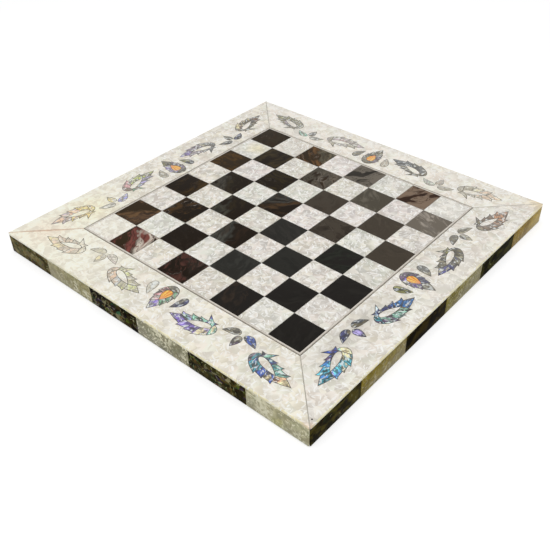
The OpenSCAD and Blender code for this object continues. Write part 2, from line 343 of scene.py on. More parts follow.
def thicken(height: float) -> None:
    """Extrudes all faces of the open piece upwards into a closed solid.

    Args:
        height: How far up they go.
    """
    select_all()
    bpy.ops.mesh.extrude_region_move(TRANSFORM_OT_translate={"value": (0, 0, height)})
    select_all()
    bpy.ops.mesh.normals_make_consistent(inside=False)


def eased(node: str, suffix: str, width: float, segments: int, wanted: Callable[..., bool]) -> Object:
    """Copies a node and rounds the edges that a test accepts.

    Args:
        node: The node's name.
        suffix: What the new piece's name adds to it.
        width: How far the rounding reaches from an edge.
        segments: Into how many strips it is divided.
        wanted: Says of one edge whether it is rounded.

    Returns:
        The new piece, shaded smooth.
    """
    piece = copy_of(node, suffix)
    soften(piece, width, segments, wanted)
    smooth(piece)
    return piece


def slab(side: float, low: float, high: float) -> Object:
    """Adds a square slab about the board's axis.

    Args:
        side: The length of its sides.
        low: The height of its underside.
        high: The height of its top.

    Returns:
        The slab.
    """
    bpy.ops.mesh.primitive_cube_add(size=side, location=(0, 0, 0))
    piece = bpy.context.object
    with editing(piece):
        select_all()
        bpy.ops.transform.resize(value=(1, 1, (high - low) / side), center_override=(0, 0, 0))
        move_all((0, 0, (low + high) / 2))
    return piece


def paint_filler_and_shading(piece: Object, is_rim: Callable[[Vector], bool]) -> None:
    """Marks where a piece is painted dark: an eased rim that dark filler has crept over, and on the front
    panel the wall of the pin hole, as painted shade.

    Args:
        piece: The finished piece.
        is_rim: Says of a point whether it is on the rim.
    """
    rim = piece.data.attributes.new("rim", "FLOAT", "POINT")
    for vertex, mark in zip(piece.data.vertices, rim.data):
        mark.value = float(is_rim(vertex.co))


class Cuttings:
    """The separate parts of a piece, each cut from a sheet of its own pattern and colours."""

    def __init__(self, piece: Object) -> None:
        """Finds the parts and gives the mesh room for what each of them says.

        Args:
            piece: The finished piece.
        """
        self.mesh: Mesh = piece.data
        self.mesh.attributes.new("lay", "FLOAT_VECTOR", "POINT")
        self.parts = self._find_parts()

    def _find_parts(self) -> list[list[int]]:
        """Gathers the vertices that edges join.

        Returns:
            One list of vertex numbers for each part, in the order of the mesh.
        """
        owner = list(range(len(self.mesh.vertices)))

        def root(index: int) -> int:
            """Follows a vertex to the one that stands for its part.

            Args:
                index: The vertex's number.

            Returns:
                The number of the vertex that stands for its part.
            """
            while owner[index] != index:
                owner[index] = owner[owner[index]]
                index = owner[index]
            return index

        for edge in self.mesh.edges:
            low, high = sorted(root(index) for index in edge.vertices)
            owner[high] = low
        parts: dict[int, list[int]] = {}
        for index in range(len(owner)):
            parts.setdefault(root(index), []).append(index)
        return list(parts.values())

    def centre(self, part: Sequence[int]) -> Vector:
        """The middle of a part's box."""
        return self.middle([self.mesh.vertices[index].co for index in part])

    def heading(self, part: Sequence[int]) -> float:
        """Finds the direction in which a part is longest.

        Args:
            part: The part's vertex numbers.

        Returns:
            The direction, as an angle from the X axis.
        """
        points = [flat(self.mesh.vertices[index].co) for index in part]
        one_end = max(points, key=lambda point: (point - points[0]).length)
        other_end = max(points, key=lambda point: (point - one_end).length)
        span = other_end - one_end
        return math.atan2(span.y, span.x)

    @staticmethod
    def middle(points: Sequence[Vector]) -> Vector:
        """Finds the middle of the box round some points.

        Args:
            points: The points.

        Returns:
            The middle.
        """
        low = Vector(tuple(min(point[axis] for point in points) for axis in range(3)))
        high = Vector(tuple(max(point[axis] for point in points) for axis in range(3)))
        return (low + high) / 2

    def lay_out(self, part: Sequence[int], lay: Point) -> None:
        """Gives each point of one part its place on the sheet.

        Args:
            part: The part's vertex numbers.
            lay: Turns a point of the board into a place on the sheet.
        """
        places = self.mesh.attributes["lay"].data
        for index in part:
            places[index].vector = lay(self.mesh.vertices[index].co)

    def cut(self, part: Sequence[int], lay: Point, first: Colour, second: Colour, amount: float = 1) -> None:
        """Says how one part was cut.

        Args:
            part: The part's vertex numbers.
            lay: Turns a point of the board into a place on the sheet.
            first: The part's main colour.
            second: The colour of its figure.
            amount: How much of the figure shows.
        """
        self.lay_out(part, lay)
        self.paint(part, "first", first)
        self.paint(part, "second", second, amount)

    def paint(self, part: Sequence[int], name: str, colour: Colour, amount: float = 1) -> None:
        """Gives one part a colour that its material reads by name.

        Args:
            part: The part's vertex numbers.
            name: The colour's name.
            colour: The colour.
            amount: How much of it shows.
        """
        layers = self.mesh.attributes
        layer = layers.get(name) or layers.new(name, "FLOAT_COLOR", "POINT")
        value = linear(colour, amount)
        for index in part:
            layer.data[index].color = value


def chance_lay(rng: random.Random, centre: Vector, heading: float | None = None) -> Point:
    """Takes a part from a random place of its sheet.

    Args:
        rng: The seeded source of chance.
        centre: The middle of the part.
        heading: The direction on the board that the sheet's X axis follows, or none for a random one.

    Returns:
        The way from a point of the board to a place on the sheet.
    """
    angle = rng.uniform(0, 2 * math.pi) if heading is None else -heading
    turn = Matrix.Rotation(angle, 3, "Z")
    shift = Vector((rng.uniform(0, 1), rng.uniform(0, 1), 0))
    return lambda point: flat(turn @ (point - centre)) + shift


def flat(point: Vector) -> Vector:
    """A point without its height."""
    return Vector((point.x, point.y, 0))


FLOAT = "NodeSocketFloat"
VECTOR = "NodeSocketVector"
COLOUR = "NodeSocketColor"
SOCKET_KINDS = {"VALUE": FLOAT, "VECTOR": VECTOR, "RGBA": COLOUR}
CUT = {"Lay": VECTOR, "First": COLOUR, "Second": COLOUR, "Amount": FLOAT}


@dataclass(frozen=True)
class Wiring:
    """Adds shader nodes to one tree and joins them."""

    tree: NodeTree

    def feed(self, node: Node, inputs: dict[str | int, object]) -> None:
        """Gives a node its inputs.

        Args:
            node: The node.
            inputs: Signals or plain values by the name or number of the input that takes them.
        """
        for key, value in inputs.items():
            if isinstance(value, Signal):
                self.tree.links.new(value.socket, node.inputs[key])
            else:
                node.inputs[key].default_value = value

    def add(self, kind: str, inputs: dict[str | int, object] | None = None, **settings: object) -> "Outputs":
        """Adds a node.

        Args:
            kind: The node's type.
            inputs: Signals or plain values for its inputs.
            settings: The node's own settings.

        Returns:
            The new node's outputs.
        """
        node = self.tree.nodes.new(kind)
        for key, value in settings.items():
            setattr(node, key, value)
        self.feed(node, inputs or {})
        return Outputs(self, node)

    def reckon(self, operation: str, *values: object) -> "Signal":
        """Adds a sum, product or other work, on vectors where one is among the values.

        Args:
            operation: What is done with the values.
            values: Signals or plain values.

        Returns:
            The result.
        """
        kind = "ShaderNodeVectorMath" if any(map(is_vector, values)) else "ShaderNodeMath"
        return self.add(kind, dict(enumerate(values)), operation=operation)[0]

    def mix(self, share: object, low: object, high: object, blend: str = "MIX") -> "Signal":
        """Adds a mix of two colours, each of them a signal or a plain colour.

        Args:
            share: How much of the second colour is mixed in, from 0 to 1.
            low: The colour at 0.
            high: The colour at 1.
            blend: How the colours are mixed.

        Returns:
            The mixed colour.
        """
        low, high = (linear(colour) if isinstance(colour, tuple) else colour for colour in (low, high))
        settings = {"data_type": "RGBA", "blend_type": blend, "clamp_result": True}
        return self.add("ShaderNodeMix", {0: share, 6: low, 7: high}, **settings)[2]

    def dimmed(self, color: object, level: "Signal") -> "Signal":
        """Makes a colour lighter or darker by a level."""
        grey = self.add("ShaderNodeCombineColor", dict.fromkeys(range(3), level))[0]
        return self.mix(1.0, color, grey, "MULTIPLY")

    def group(self, tree: NodeTree, **inputs: object) -> "Outputs":
        """Places a shared group and gives it signals or plain values."""
        return self.add("ShaderNodeGroup", inputs, node_tree=tree)

    def attribute(self, name: str) -> "Outputs":
        """Reads one of a mesh's attributes."""
        return self.add("ShaderNodeAttribute", attribute_name=name)

    def place(self) -> "Signal":
        """Reads the place on the board."""
        return self.add("ShaderNodeTexCoord")["Object"]

    def cut(self) -> dict[str, "Signal"]:
        """Reads how a part was cut.

        Returns:
            Its place on the sheet, its two colours and the amount of the second one.
        """
        second = self.attribute("second")
        lay, first = self.attribute("lay")["Vector"], self.attribute("first")["Color"]
        return {"Lay": lay, "First": first, "Second": second["Color"], "Amount": second["Alpha"]}

    def seen(self) -> "Signal":
        """Reads whether the eye meets a point straight on, in a reflection or through something clear.

        Returns:
            1 where it does, and 0 in the light that falls on other things.
        """
        path = self.add("ShaderNodeLightPath")
        direct = self.reckon("MAXIMUM", path["Is Camera Ray"], path["Is Glossy Ray"])
        return self.reckon("MAXIMUM", direct, path["Is Transmission Ray"])

    def finished(self, **results: "Signal") -> NodeTree:
        """Ends a shared group.

        Args:
            results: What the group puts out, by name.

        Returns:
            The group's tree.
        """
        for label, signal in results.items():
            kind = SOCKET_KINDS[signal.socket.type]
            self.tree.interface.new_socket(label, in_out="OUTPUT", socket_type=kind)
        self.add("NodeGroupOutput", results)
        return self.tree


@dataclass(frozen=True)
class Outputs:
    """The outputs of one node."""

    wiring: Wiring
    node: Node

    def __getitem__(self, key: str | int) -> "Signal":
        """The output with a name or number."""
        return Signal(self.wiring, self.node.outputs[key])


@dataclass(frozen=True)
class Signal:
    """An output of a node, which can be reckoned with: a number, a vector or a colour."""

    wiring: Wiring
    socket: NodeSocket

    def __add__(self, other: object) -> "Signal":
        """The sum."""
        return self.wiring.reckon("ADD", self, other)

    def __sub__(self, other: object) -> "Signal":
        """The difference."""
        return self.wiring.reckon("SUBTRACT", self, other)

    def __mul__(self, other: object) -> "Signal":
        """The product, axis by axis where both are vectors.

        Args:
            other: A signal or a plain value.

        Returns:
            The product.
        """
        if is_vector(self) and not is_vector(other):
            return self.wiring.add("ShaderNodeVectorMath", {0: self, "Scale": other}, operation="SCALE")[0]
        return self.wiring.reckon("MULTIPLY", self, other)

    def __abs__(self) -> "Signal":
        """The size without the sign."""
        return self.wiring.reckon("ABSOLUTE", self)

    def length(self) -> "Signal":
        """The length of a vector."""
        return self.wiring.add("ShaderNodeVectorMath", {0: self}, operation="LENGTH")["Value"]

    def turned(self, angle: object) -> "Signal":
        """A vector turned about the Z axis."""
        inputs = {"Vector": self, "Angle": angle}
        return self.wiring.add("ShaderNodeVectorRotate", inputs, rotation_type="Z_AXIS")["Vector"]

    def parts(self) -> "tuple[Signal, Signal, Signal]":
        """The three numbers of a vector or colour."""
        node = self.wiring.add(f"ShaderNodeSeparate{'XYZ' if is_vector(self) else 'Color'}", {0: self})
        return node[0], node[1], node[2]

    def ramp(self, start: float, end: float, low: object = 0.0, high: object = 1.0) -> "Signal":
        """Eases from low to high while this number goes from start to end."""
        inputs = {"Value": self, "From Min": start, "From Max": end, "To Min": low, "To Max": high}
        return self.wiring.add("ShaderNodeMapRange", inputs, interpolation_type="SMOOTHSTEP")["Result"]

    def noise(self, grain: float, detail: float = 2.0, swirl: float = 0.0, kind: str = "Fac") -> "Signal":
        """Noise over this place, whose lumps are about one grain across."""
        inputs = {"Vector": self, "Scale": 1 / grain, "Detail": detail, "Distortion": swirl}
        return self.wiring.add("ShaderNodeTexNoise", inputs)[kind]

    def warped(self, grain: float, reach: object) -> "Signal":
        """This place, shifted by a soft noise of the given grain and reach."""
        return self + (self.noise(grain, kind="Color") - (0.5, 0.5, 0.5)) * reach

    def cells(self, scale: object, feature: str = "F1") -> Outputs:
        """Flat cells over this place."""
        inputs = {"Vector": self, "Scale": scale}
        return self.wiring.add("ShaderNodeTexVoronoi", inputs, voronoi_dimensions="2D", feature=feature)

    def palette(self, *colours: Colour) -> "Signal":
        """Picks one of several colours by this number.

        Args:
            colours: The colours, in order while the number goes from 0 to 1.

        Returns:
            The colour.
        """
        picked = self.wiring.add("ShaderNodeValToRGB", {"Fac": self})
        picked.node.color_ramp.interpolation = "CONSTANT"
        stops = picked.node.color_ramp.elements
        stops[1].position = 1 / len(colours)
        for number in range(2, len(colours)):
            stops.new(number / len(colours))
        for stop, colour in zip(stops, colours):
            stop.color = linear(colour)
        return picked["Color"]


def is_vector(value: object) -> bool:
    """Says whether a value or signal is a vector."""
    return isinstance(value, tuple) or isinstance(value, Signal) and value.socket.type == "VECTOR"


def new_group(name: str, **inputs: str) -> tuple[Wiring, Outputs]:
    """Starts a shared group.

    Args:
        name: The group's name.
        inputs: The kind of each input socket by its name.

    Returns:
        The wiring of its tree, and what the group is given.
    """
    tree = bpy.data.node_groups.new(name, "ShaderNodeTree")
    for label, kind in inputs.items():
        tree.interface.new_socket(label, in_out="INPUT", socket_type=kind)
    wiring = Wiring(tree)
    return wiring, wiring.add("NodeGroupInput")


class Effects:
    """The effects that several finishes share, each built once as a group."""

    def __init__(self) -> None:
        """Builds the groups, the ones that others use first."""
        self.flecks = self._flecks()
        self.pearl = self._pearl()
        self.shell = self._shell()
        self.marble = self._marble()
        self.tortoise = self._tortoise()
        self.stain = self._stain()
        self.polish = self._polish()

    @staticmethod
    def _flecks() -> NodeTree:
        """Flakes that each slope their own way, some of them with a short bright stroke.

        Returns:
            A group that puts out the strokes, and a tone, a slope and a hue for each flake.
        """
        wiring, given = new_group("flecks", Lay=VECTOR, Cell=FLOAT, Share=FLOAT)
        scale = wiring.reckon("DIVIDE", 1.0, given["Cell"])
        cells = given["Lay"].cells(scale)
        hue, chance, tone = cells["Color"].parts()
        across = (given["Lay"] - cells["Position"]).turned(hue * (2 * math.pi)) * scale
        stroke = (across * (1.5, 6.5, 0.0)).length().ramp(1.0, 0.45)
        chosen = wiring.reckon("GREATER_THAN", given["Share"], chance)
        fleck = stroke * chosen * tone.ramp(0.0, 1.0, 0.5, 1.0)
        return wiring.finished(Fleck=fleck, Tone=tone, Slope=across.parts()[0], Hue=hue)

    def _pearl(self) -> NodeTree:
        """Crushed pearl flakes pressed into a sheet.

        Returns:
            A group that puts out the tone of the flakes, their tint, their flashes and their relief.
        """
        wiring, given = new_group("pearl_flakes", Lay=VECTOR, Cell=FLOAT, Share=FLOAT)
        cell = given["Cell"]
        lay = given["Lay"].warped(7.0 * MM, 4.5 * MM)
        crowd = (lay + (0.9, 0.4, 0.0)).noise(12 * MM, 1.0)
        share = given["Share"] * crowd.ramp(0.38, 0.6, 0.4, 1.5)
        coarse = wiring.group(self.flecks, Lay=lay, Cell=cell, Share=share)
        fine = wiring.group(self.flecks, Lay=lay + (0.37, 0.19, 0.0), Cell=cell * 0.6, Share=share)
        dull = wiring.group(self.flecks, Lay=lay + (0.71, 0.53, 0.0), Cell=cell * 1.1, Share=0.25)
        flakes = coarse["Tone"] * 0.4 + coarse["Slope"] * 0.5 + fine["Tone"] * 0.1 + fine["Slope"] * 0.15
        clouded = flakes + lay.noise(14 * MM, 4.0) * 1.1
        tone = clouded.ramp(0.4, 1.2) * dull["Fleck"].ramp(0.0, 1.0, 1.0, 0.35)
        tint = coarse["Hue"].palette(
            (255, 238, 236), (236, 252, 240), (255, 249, 222), (255, 255, 255), (240, 243, 255))
        flash = wiring.reckon("MAXIMUM", coarse["Fleck"], fine["Fleck"])
        return wiring.finished(Tone=tone, Tint=tint, Flash=flash, Relief=tone + flash * 0.5)

    @staticmethod
    def _shell() -> NodeTree:
        """The figure of sea shell: drifts of two colours, pale glints and dark veins.

        Returns:
            A group that puts out the colour and the relief. Its amount is how pale the shell is.
        """
        wiring, given = new_group("shell_figure", **CUT, Glint=FLOAT, Veins=FLOAT)
        lay = given["Lay"].warped(5.0 * MM, 3.6 * MM)
        drawn = lay * (0.5, 1.0, 1.0)
        ground = wiring.mix(drawn.noise(5.0 * MM, 1.0).ramp(0.4, 0.56), given["Second"], given["First"])
        ripple = (drawn + (0.3, 0.1, 0.0)).noise(2.8 * MM, 3.0)
        color = wiring.dimmed(ground, ripple.ramp(0.36, 0.62, 0.3, 1.6))
        shadow = (drawn + (0.2, 0.8, 0.0)).noise(3.4 * MM)
        color = wiring.mix(shadow.ramp(0.56, 0.63, 0.0, 0.85), color, (34, 32, 36))
        sheen = (drawn + (0.6, 0.7, 0.0)).noise(2.6 * MM, 1.0)
        pale = wiring.mix(0.75, ground, (244, 250, 250))
        color = wiring.mix(sheen.ramp(0.57, 0.63) * given["Glint"], color, pale)
        color = wiring.mix(given["Amount"], color, (246, 238, 216))
        vein = lay.cells(1 / (5.5 * MM), "DISTANCE_TO_EDGE")["Distance"].ramp(0.09, 0.02) * given["Veins"]
        color = wiring.mix(vein, color, wiring.mix(0.8, color, (40, 34, 32)))
        return wiring.finished(Color=color, Relief=ripple - vein)

    @staticmethod
    def _marble() -> NodeTree:
        """Slow drawn-out swirls of one colour in another, a painted reflection of the room as a cloud on one
        side, and thin pale threads.

        The place on the sheet has the distance from the tile's main band as its height.

        Returns:
            A group that puts out the colour and the swirl.
        """
        wiring, given = new_group("marble_swirl", **CUT, Cloud=COLOUR, Haze=FLOAT)
        lay = (given["Lay"] * (1.0, 1.0, 0.0)).warped(22 * MM, 18 * MM)
        aside = given["Lay"].parts()[2] + (lay.noise(18 * MM, 1.0) - 0.5) * (22 * MM)
        band = abs(aside).ramp(6 * MM, 0.5 * MM, -0.13, 0.1)
        streaks = (lay * (0.22, 1.0, 1.0)).noise(3.6 * MM, 3.0)
        feather = streaks - 0.5
        lumps = (lay * (0.4, 1.0, 1.0)).noise(10 * MM, 2.0, 0.5)
        field = lumps + band + feather * 0.3
        ring = abs(field - 0.4).ramp(0.02, 0.006, 0.0, 0.75)
        swirl = wiring.reckon("MAXIMUM", field.ramp(0.43, 0.58), ring)
        level = streaks.ramp(0.36, 0.64, 0.55, 1.35)
        # To the right of the band a painted reflection of the room is laid over the ground.
        reflection_patch = (aside + feather * (14 * MM)).ramp(-1.5 * MM, -6 * MM) * lumps.ramp(0.34, 0.5)
        ground = wiring.mix(reflection_patch * given["Haze"], given["First"], wiring.dimmed(given["Cloud"], level))
        swirled = wiring.mix(swirl * given["Amount"], ground, wiring.dimmed(given["Second"], level))
        ridge = abs(field - 0.47).ramp(0.016, 0.003)
        some = lay.noise(16 * MM, 1.0).ramp(0.45, 0.58)
        thread = ridge * some * wiring.reckon("POWER", given["Amount"], 5.0)
        pale = wiring.mix(0.5, given["Second"], (196, 186, 176))
        return wiring.finished(Color=wiring.mix(thread * 0.65, swirled, pale), Swirl=swirl)

    @staticmethod
    def _tortoise() -> NodeTree:
        """Dark clouds of two colours with small patches of green, brown and purple.

        Returns:
            A group that puts out the colour and its depth.
        """
        wiring, given = new_group("tortoise_clouds", **CUT)
        lay = given["Lay"].warped(9 * MM, 8 * MM) * (0.65, 1.0, 1.0)
        ground = wiring.mix(lay.noise(9 * MM, 4.0).ramp(0.42, 0.62), given["First"], given["Second"])
        cells = lay.warped(1.8 * MM, 2.6 * MM).cells(1 / (2.2 * MM))
        chance, lit, dark = cells["Color"].parts()
        hue = chance.palette(
            (88, 98, 36), (78, 64, 88), (128, 96, 48), (64, 104, 74), (166, 160, 122), (84, 58, 30))
        gathered = lay.noise(12 * MM, 1.0).ramp(0.38, 0.55)
        share = lit.ramp(0.4, 0.9) * gathered * given["Amount"]
        depth = dark.ramp(0.0, 1.0, given["Amount"].ramp(0.0, 1.0, 1.0, 0.4), 1.2)
        return wiring.finished(Color=wiring.dimmed(wiring.mix(share, ground, hue), depth), Depth=depth)

    @staticmethod
    def _stain() -> NodeTree:
        """A tint that fades away from one place on the board.

        Returns:
            A group that puts out the tinted colour.
        """
        wiring, given = new_group("stain", Color=COLOUR, Tint=COLOUR, Centre=VECTOR, Heading=FLOAT,
                                  Spread=VECTOR, Drift=FLOAT, Strength=FLOAT)
        offset = wiring.place().warped(12 * MM, given["Drift"]) - given["Centre"]
        turned = offset.turned(given["Heading"] * -1.0)
        away = wiring.reckon("DIVIDE", turned, given["Spread"]).length()
        share = away.ramp(1.0, 0.1) * given["Strength"]
        return wiring.finished(Color=wiring.mix(share, given["Color"], given["Tint"]))

    @staticmethod
    def _polish() -> NodeTree:
        """A polished surface that years of wiping have left a little uneven.

        Returns:
            A group that puts out the roughness.
        """
        wiring, given = new_group("polish", Gloss=FLOAT, Spread=FLOAT)
        place = wiring.place()
        smear = (place * (1.0, 0.35, 1.0)).noise(18 * MM, 4.0)
        specks = place.noise(0.9 * MM, 1.0).ramp(0.68, 0.76)
        uneven = smear - 0.5 + specks * 0.4
        return wiring.finished(Roughness=given["Gloss"] + uneven * given["Spread"])


EFFECTS = Effects()


@dataclass(frozen=True)
class Stain:
    """A place where the sheet's colour fades to a tint, round or drawn out along a heading. Some are places
    where the sheet is stained; others are painted shade or painted sheen, or places where bright grains
    gather.
    """

    place: Place
    reach: float
    tint: Colour
    strength: float
    heading: float = 0.0
    narrow: float = 1.0
    drift: float = 14 * MM

    def over(self, color: Signal, tint: Signal) -> Signal:
        """Fades another colour into a colour round this place.

        Args:
            color: The sheet's colour.
            tint: The colour that it takes here.

        Returns:
            The tinted colour.
        """
        spread = (self.reach, self.reach * self.narrow, self.reach)
        tinted = color.wiring.group(EFFECTS.stain, Color=color, Tint=tint, Centre=self.place, Spread=spread,
                                    Heading=self.heading, Drift=self.drift, Strength=self.strength)
        return tinted["Color"]


@dataclass(frozen=True)
class Finish:
    """What every finish tells its surface shader. Each kind of finish wires its own figure.

    A polished surface has a gloss, which varies by the spread. A matt one has the roughness of its
    low and of its high places instead.
    """

    name: str
    _: KW_ONLY
    gloss: float = 0.3
    spread: float = 0.1
    matt: tuple[float, float] | None = None
    metal: float = 0.0
    shine: float = 0.5
    coat: float = 0.0
    coat_gloss: float = 0.05
    sheen: float = 0.0
    depth: float = 0.05 * MM
    relief: float = 0.25

    def figure(self, wiring: Wiring) -> tuple[Signal, Signal]:
        """Wires the colour and the height of the surface."""
        raise NotImplementedError

    def material(self) -> Material:
        """Builds the material.

        Returns:
            The material, with the finish's figure on its surface shader.
        """
        material = bpy.data.materials.new(self.name)
        material.use_nodes = True
        wiring = Wiring(material.node_tree)
        color, height = self.figure(wiring)
        if self.matt:
            roughness = height.ramp(0.0, 1.0, *self.matt)
        else:
            roughness = wiring.group(EFFECTS.polish, Gloss=self.gloss, Spread=self.spread)["Roughness"]
        bump = {"Height": height, "Distance": self.depth, "Strength": self.relief}
        wiring.feed(material.node_tree.nodes["Principled BSDF"], {
            "Base Color": color,
            "Roughness": roughness,
            "Metallic": self.metal,
            "Specular IOR Level": self.shine,
            "Coat Weight": self.coat,
            "Coat Roughness": self.coat_gloss,
            "Sheen Weight": self.sheen,
            "Normal": wiring.add("ShaderNodeBump", bump)["Normal"],
        })
        return material


@dataclass(frozen=True)
class PearlSheet(Finish):
    """Pearl flake sheet, polished, in each part's own two colours."""

    cell: float
    share: float
    flash: Colour
    _: KW_ONLY
    coat: float = 0.5
    play: float = 0.2
    stains_and_shading: tuple[Stain, ...] = ()
    glitter: tuple[Stain, ...] = ()
    glitter_cell: float = 2.4 * MM
    glitter_share: float = 0.9
    stain_levels: tuple[float, float] = (0.86, 1.14)
    filler: Colour = (92, 84, 80)

    def figure(self, wiring: Wiring) -> tuple[Signal, Signal]:
        """Wires the flakes, the tinted places, the bright grains and the dark filler on the rim. Some tinted
        places are where the sheet is stained, others are painted shade and painted sheen; on the wall of the
        pin hole the filler's colour is painted shade.

        Args:
            wiring: The material's wiring.

        Returns:
            The colour and the height of the surface.
        """
        cut = wiring.cut()
        flakes = wiring.group(EFFECTS.pearl, Lay=cut["Lay"], Cell=self.cell, Share=self.share)
        color = wiring.mix(flakes["Tone"], cut["Second"], cut["First"])
        color = wiring.mix(self.play, color, flakes["Tint"], "MULTIPLY")
        color = wiring.mix(flakes["Flash"] * cut["Amount"], color, self.flash)
        level = flakes["Relief"].ramp(0.0, 1.3, *self.stain_levels)
        # The tinted places include real stained patches as well as painted shade and painted sheen.
        for stain in self.stains_and_shading:
            color = stain.over(color, wiring.dimmed(stain.tint, level))
        if self.glitter:
            grains = wiring.group(
                EFFECTS.flecks, Lay=cut["Lay"], Cell=self.glitter_cell, Share=self.glitter_share)
            strewn = wiring.mix(grains["Tone"].ramp(0.45, 0.7), color, self.flash)
            for spot in self.glitter:
                color = spot.over(color, strewn)
        # The marked rim takes the filler's colour; on the pin hole's wall this is painted shade.
        return wiring.mix(wiring.attribute("rim")["Fac"], color, self.filler), flakes["Relief"]


@dataclass(frozen=True)
class ShellPlate(Finish):
    """Sea shell under lacquer, in each part's own two colours."""

    glint: float
    veins: float
    _: KW_ONLY
    gloss: float = 0.26
    metal: float = 0.1
    coat: float = 0.4
    depth: float = 0.06 * MM
    relief: float = 0.35
    filler: Colour = (62, 58, 54)
    pale_filler: Colour = (186, 172, 140)

    def figure(self, wiring: Wiring) -> tuple[Signal, Signal]:
        """Wires the shell and the filler on the rim.

        Args:
            wiring: The material's wiring.

        Returns:
            The colour and the height of the surface.
        """
        cut = wiring.cut()
        shell = wiring.group(EFFECTS.shell, **cut, Glint=self.glint, Veins=self.veins)
        filler = wiring.mix(cut["Amount"], self.filler, self.pale_filler)
        return wiring.mix(wiring.attribute("rim")["Fac"], shell["Color"], filler), shell["Relief"]


@dataclass(frozen=True)
class CloudedSheet(Finish):
    """Dark sheet in each part's own two colours, with patches of shell in it."""

    _: KW_ONLY
    shine: float = 0.0
    coat: float = 0.04
    coat_gloss: float = 0.08
    depth: float = 0.03 * MM
    relief: float = 0.3
    cell: float = 3.4 * MM
    sparks: float = 0.4
    spark: Colour = (150, 152, 112)

    def figure(self, wiring: Wiring) -> tuple[Signal, Signal]:
        """Wires the clouds and the sparks in them.

        Args:
            wiring: The material's wiring.

        Returns:
            The colour and the height of the surface.
        """
        cut = wiring.cut()
        clouds = wiring.group(EFFECTS.tortoise, **cut)
        share = cut["Amount"] * self.sparks
        sparks = wiring.group(EFFECTS.flecks, Lay=cut["Lay"], Cell=self.cell, Share=share)
        return wiring.mix(sparks["Fleck"], clouds["Color"], self.spark), clouds["Depth"]


@dataclass(frozen=True)
class MarbledSheet(Finish):
    """Dark marbled sheet with a hard polish, in each part's own two colours and a painted reflection of the
    room.
    """

    _: KW_ONLY
    gloss: float = 0.1
    spread: float = 0.08
    shine: float = 0.04
    depth: float = 0.02 * MM
    relief: float = 0.2

    def figure(self, wiring: Wiring) -> tuple[Signal, Signal]:
        """Wires the swirls, which stand out a little.

        Args:
            wiring: The material's wiring.

        Returns:
            The colour and the height of the surface.
        """
        # The last colour is a painted reflection of the room, with its share in the alpha.
        painted_reflection = wiring.attribute("painted_reflection")
        marble = wiring.group(EFFECTS.marble, **wiring.cut(), Cloud=painted_reflection["Color"], Haze=painted_reflection["Alpha"])
        return marble["Color"], marble["Swirl"]


@dataclass(frozen=True)
class Resin(Finish):
    """A resin line or filling, slightly clouded."""

    color: Colour
    cloud: Colour
    _: KW_ONLY
    gloss: float = 0.28
    spread: float = 0.15
    depth: float = 0.04 * MM
    relief: float = 0.2

    def figure(self, wiring: Wiring) -> tuple[Signal, Signal]:
        """Wires the clouds, which stand out a little."""
        lumps = wiring.place().noise(5 * MM, 4.0)
        return wiring.mix(lumps.ramp(0.35, 0.65), self.color, self.cloud), lumps


@dataclass(frozen=True)
class Amber(Finish):
    """Amber-coloured shell with painted highlights along the ribs that fan out from its tip, and one side
    painted lighter than the other as a lit and a shaded facet.
    """

    light: Colour
    deep: Colour
    tip: Colour
    _: KW_ONLY
    gloss: float = 0.25
    coat: float = 0.5
    depth: float = 0.08 * MM
    relief: float = 0.4
    ribs: int = 4
    fan: float = math.radians(70)

    def figure(self, wiring: Wiring) -> tuple[Signal, Signal]:
        """Wires the painted highlights on the ribs and the painted light and shade of the two facets, on a
        sheet with its origin at the tip and its Y axis along the piece.

        Args:
            wiring: The material's wiring.

        Returns:
            The colour and the height of the surface.
        """
        lay = wiring.attribute("lay")["Vector"]
        across, along, _ = lay.warped(2.5 * MM, 0.9 * MM).parts()
        angle = wiring.reckon("ARCTAN2", across, along)
        wave = wiring.reckon("SINE", angle * (2 * math.pi * self.ribs / self.fan))
        # Painted highlights on the ribs, and painted light on one facet and painted shade on the other.
        rib_highlight = wave.ramp(-0.6, 0.7) + across.ramp(-0.8 * MM, 0.8 * MM, 0.15, -0.15)
        share = rib_highlight * 0.7 + lay.noise(2.2 * MM, 3.0).ramp(0.35, 0.65) * 0.3
        near_tip = lay.length().ramp(6.0 * MM, 1.5 * MM, 0.0, 0.7)
        return wiring.mix(near_tip, wiring.mix(share, self.deep, self.light), self.tip), share


@dataclass(frozen=True)
class Felt(Finish):
    """Short-napped felt."""

    color: Colour
    fibre: Colour
    _: KW_ONLY
    matt: tuple[float, float] | None = (0.88, 1.0)
    sheen: float = 0.3
    depth: float = 0.2 * MM
    relief: float = 0.6

    def figure(self, wiring: Wiring) -> tuple[Signal, Signal]:
        """Wires the fibres and the clumps that they lie in.

        Args:
            wiring: The material's wiring.

        Returns:
            The colour and the height of the surface.
        """
        place = wiring.place()
        fibres = place.warped(1.5 * MM, 1.2 * MM).noise(0.35 * MM, 3.0)
        share = (place.noise(6 * MM, 5.0) + fibres).ramp(0.75, 1.25)
        return wiring.mix(share, self.color, self.fibre), fibres


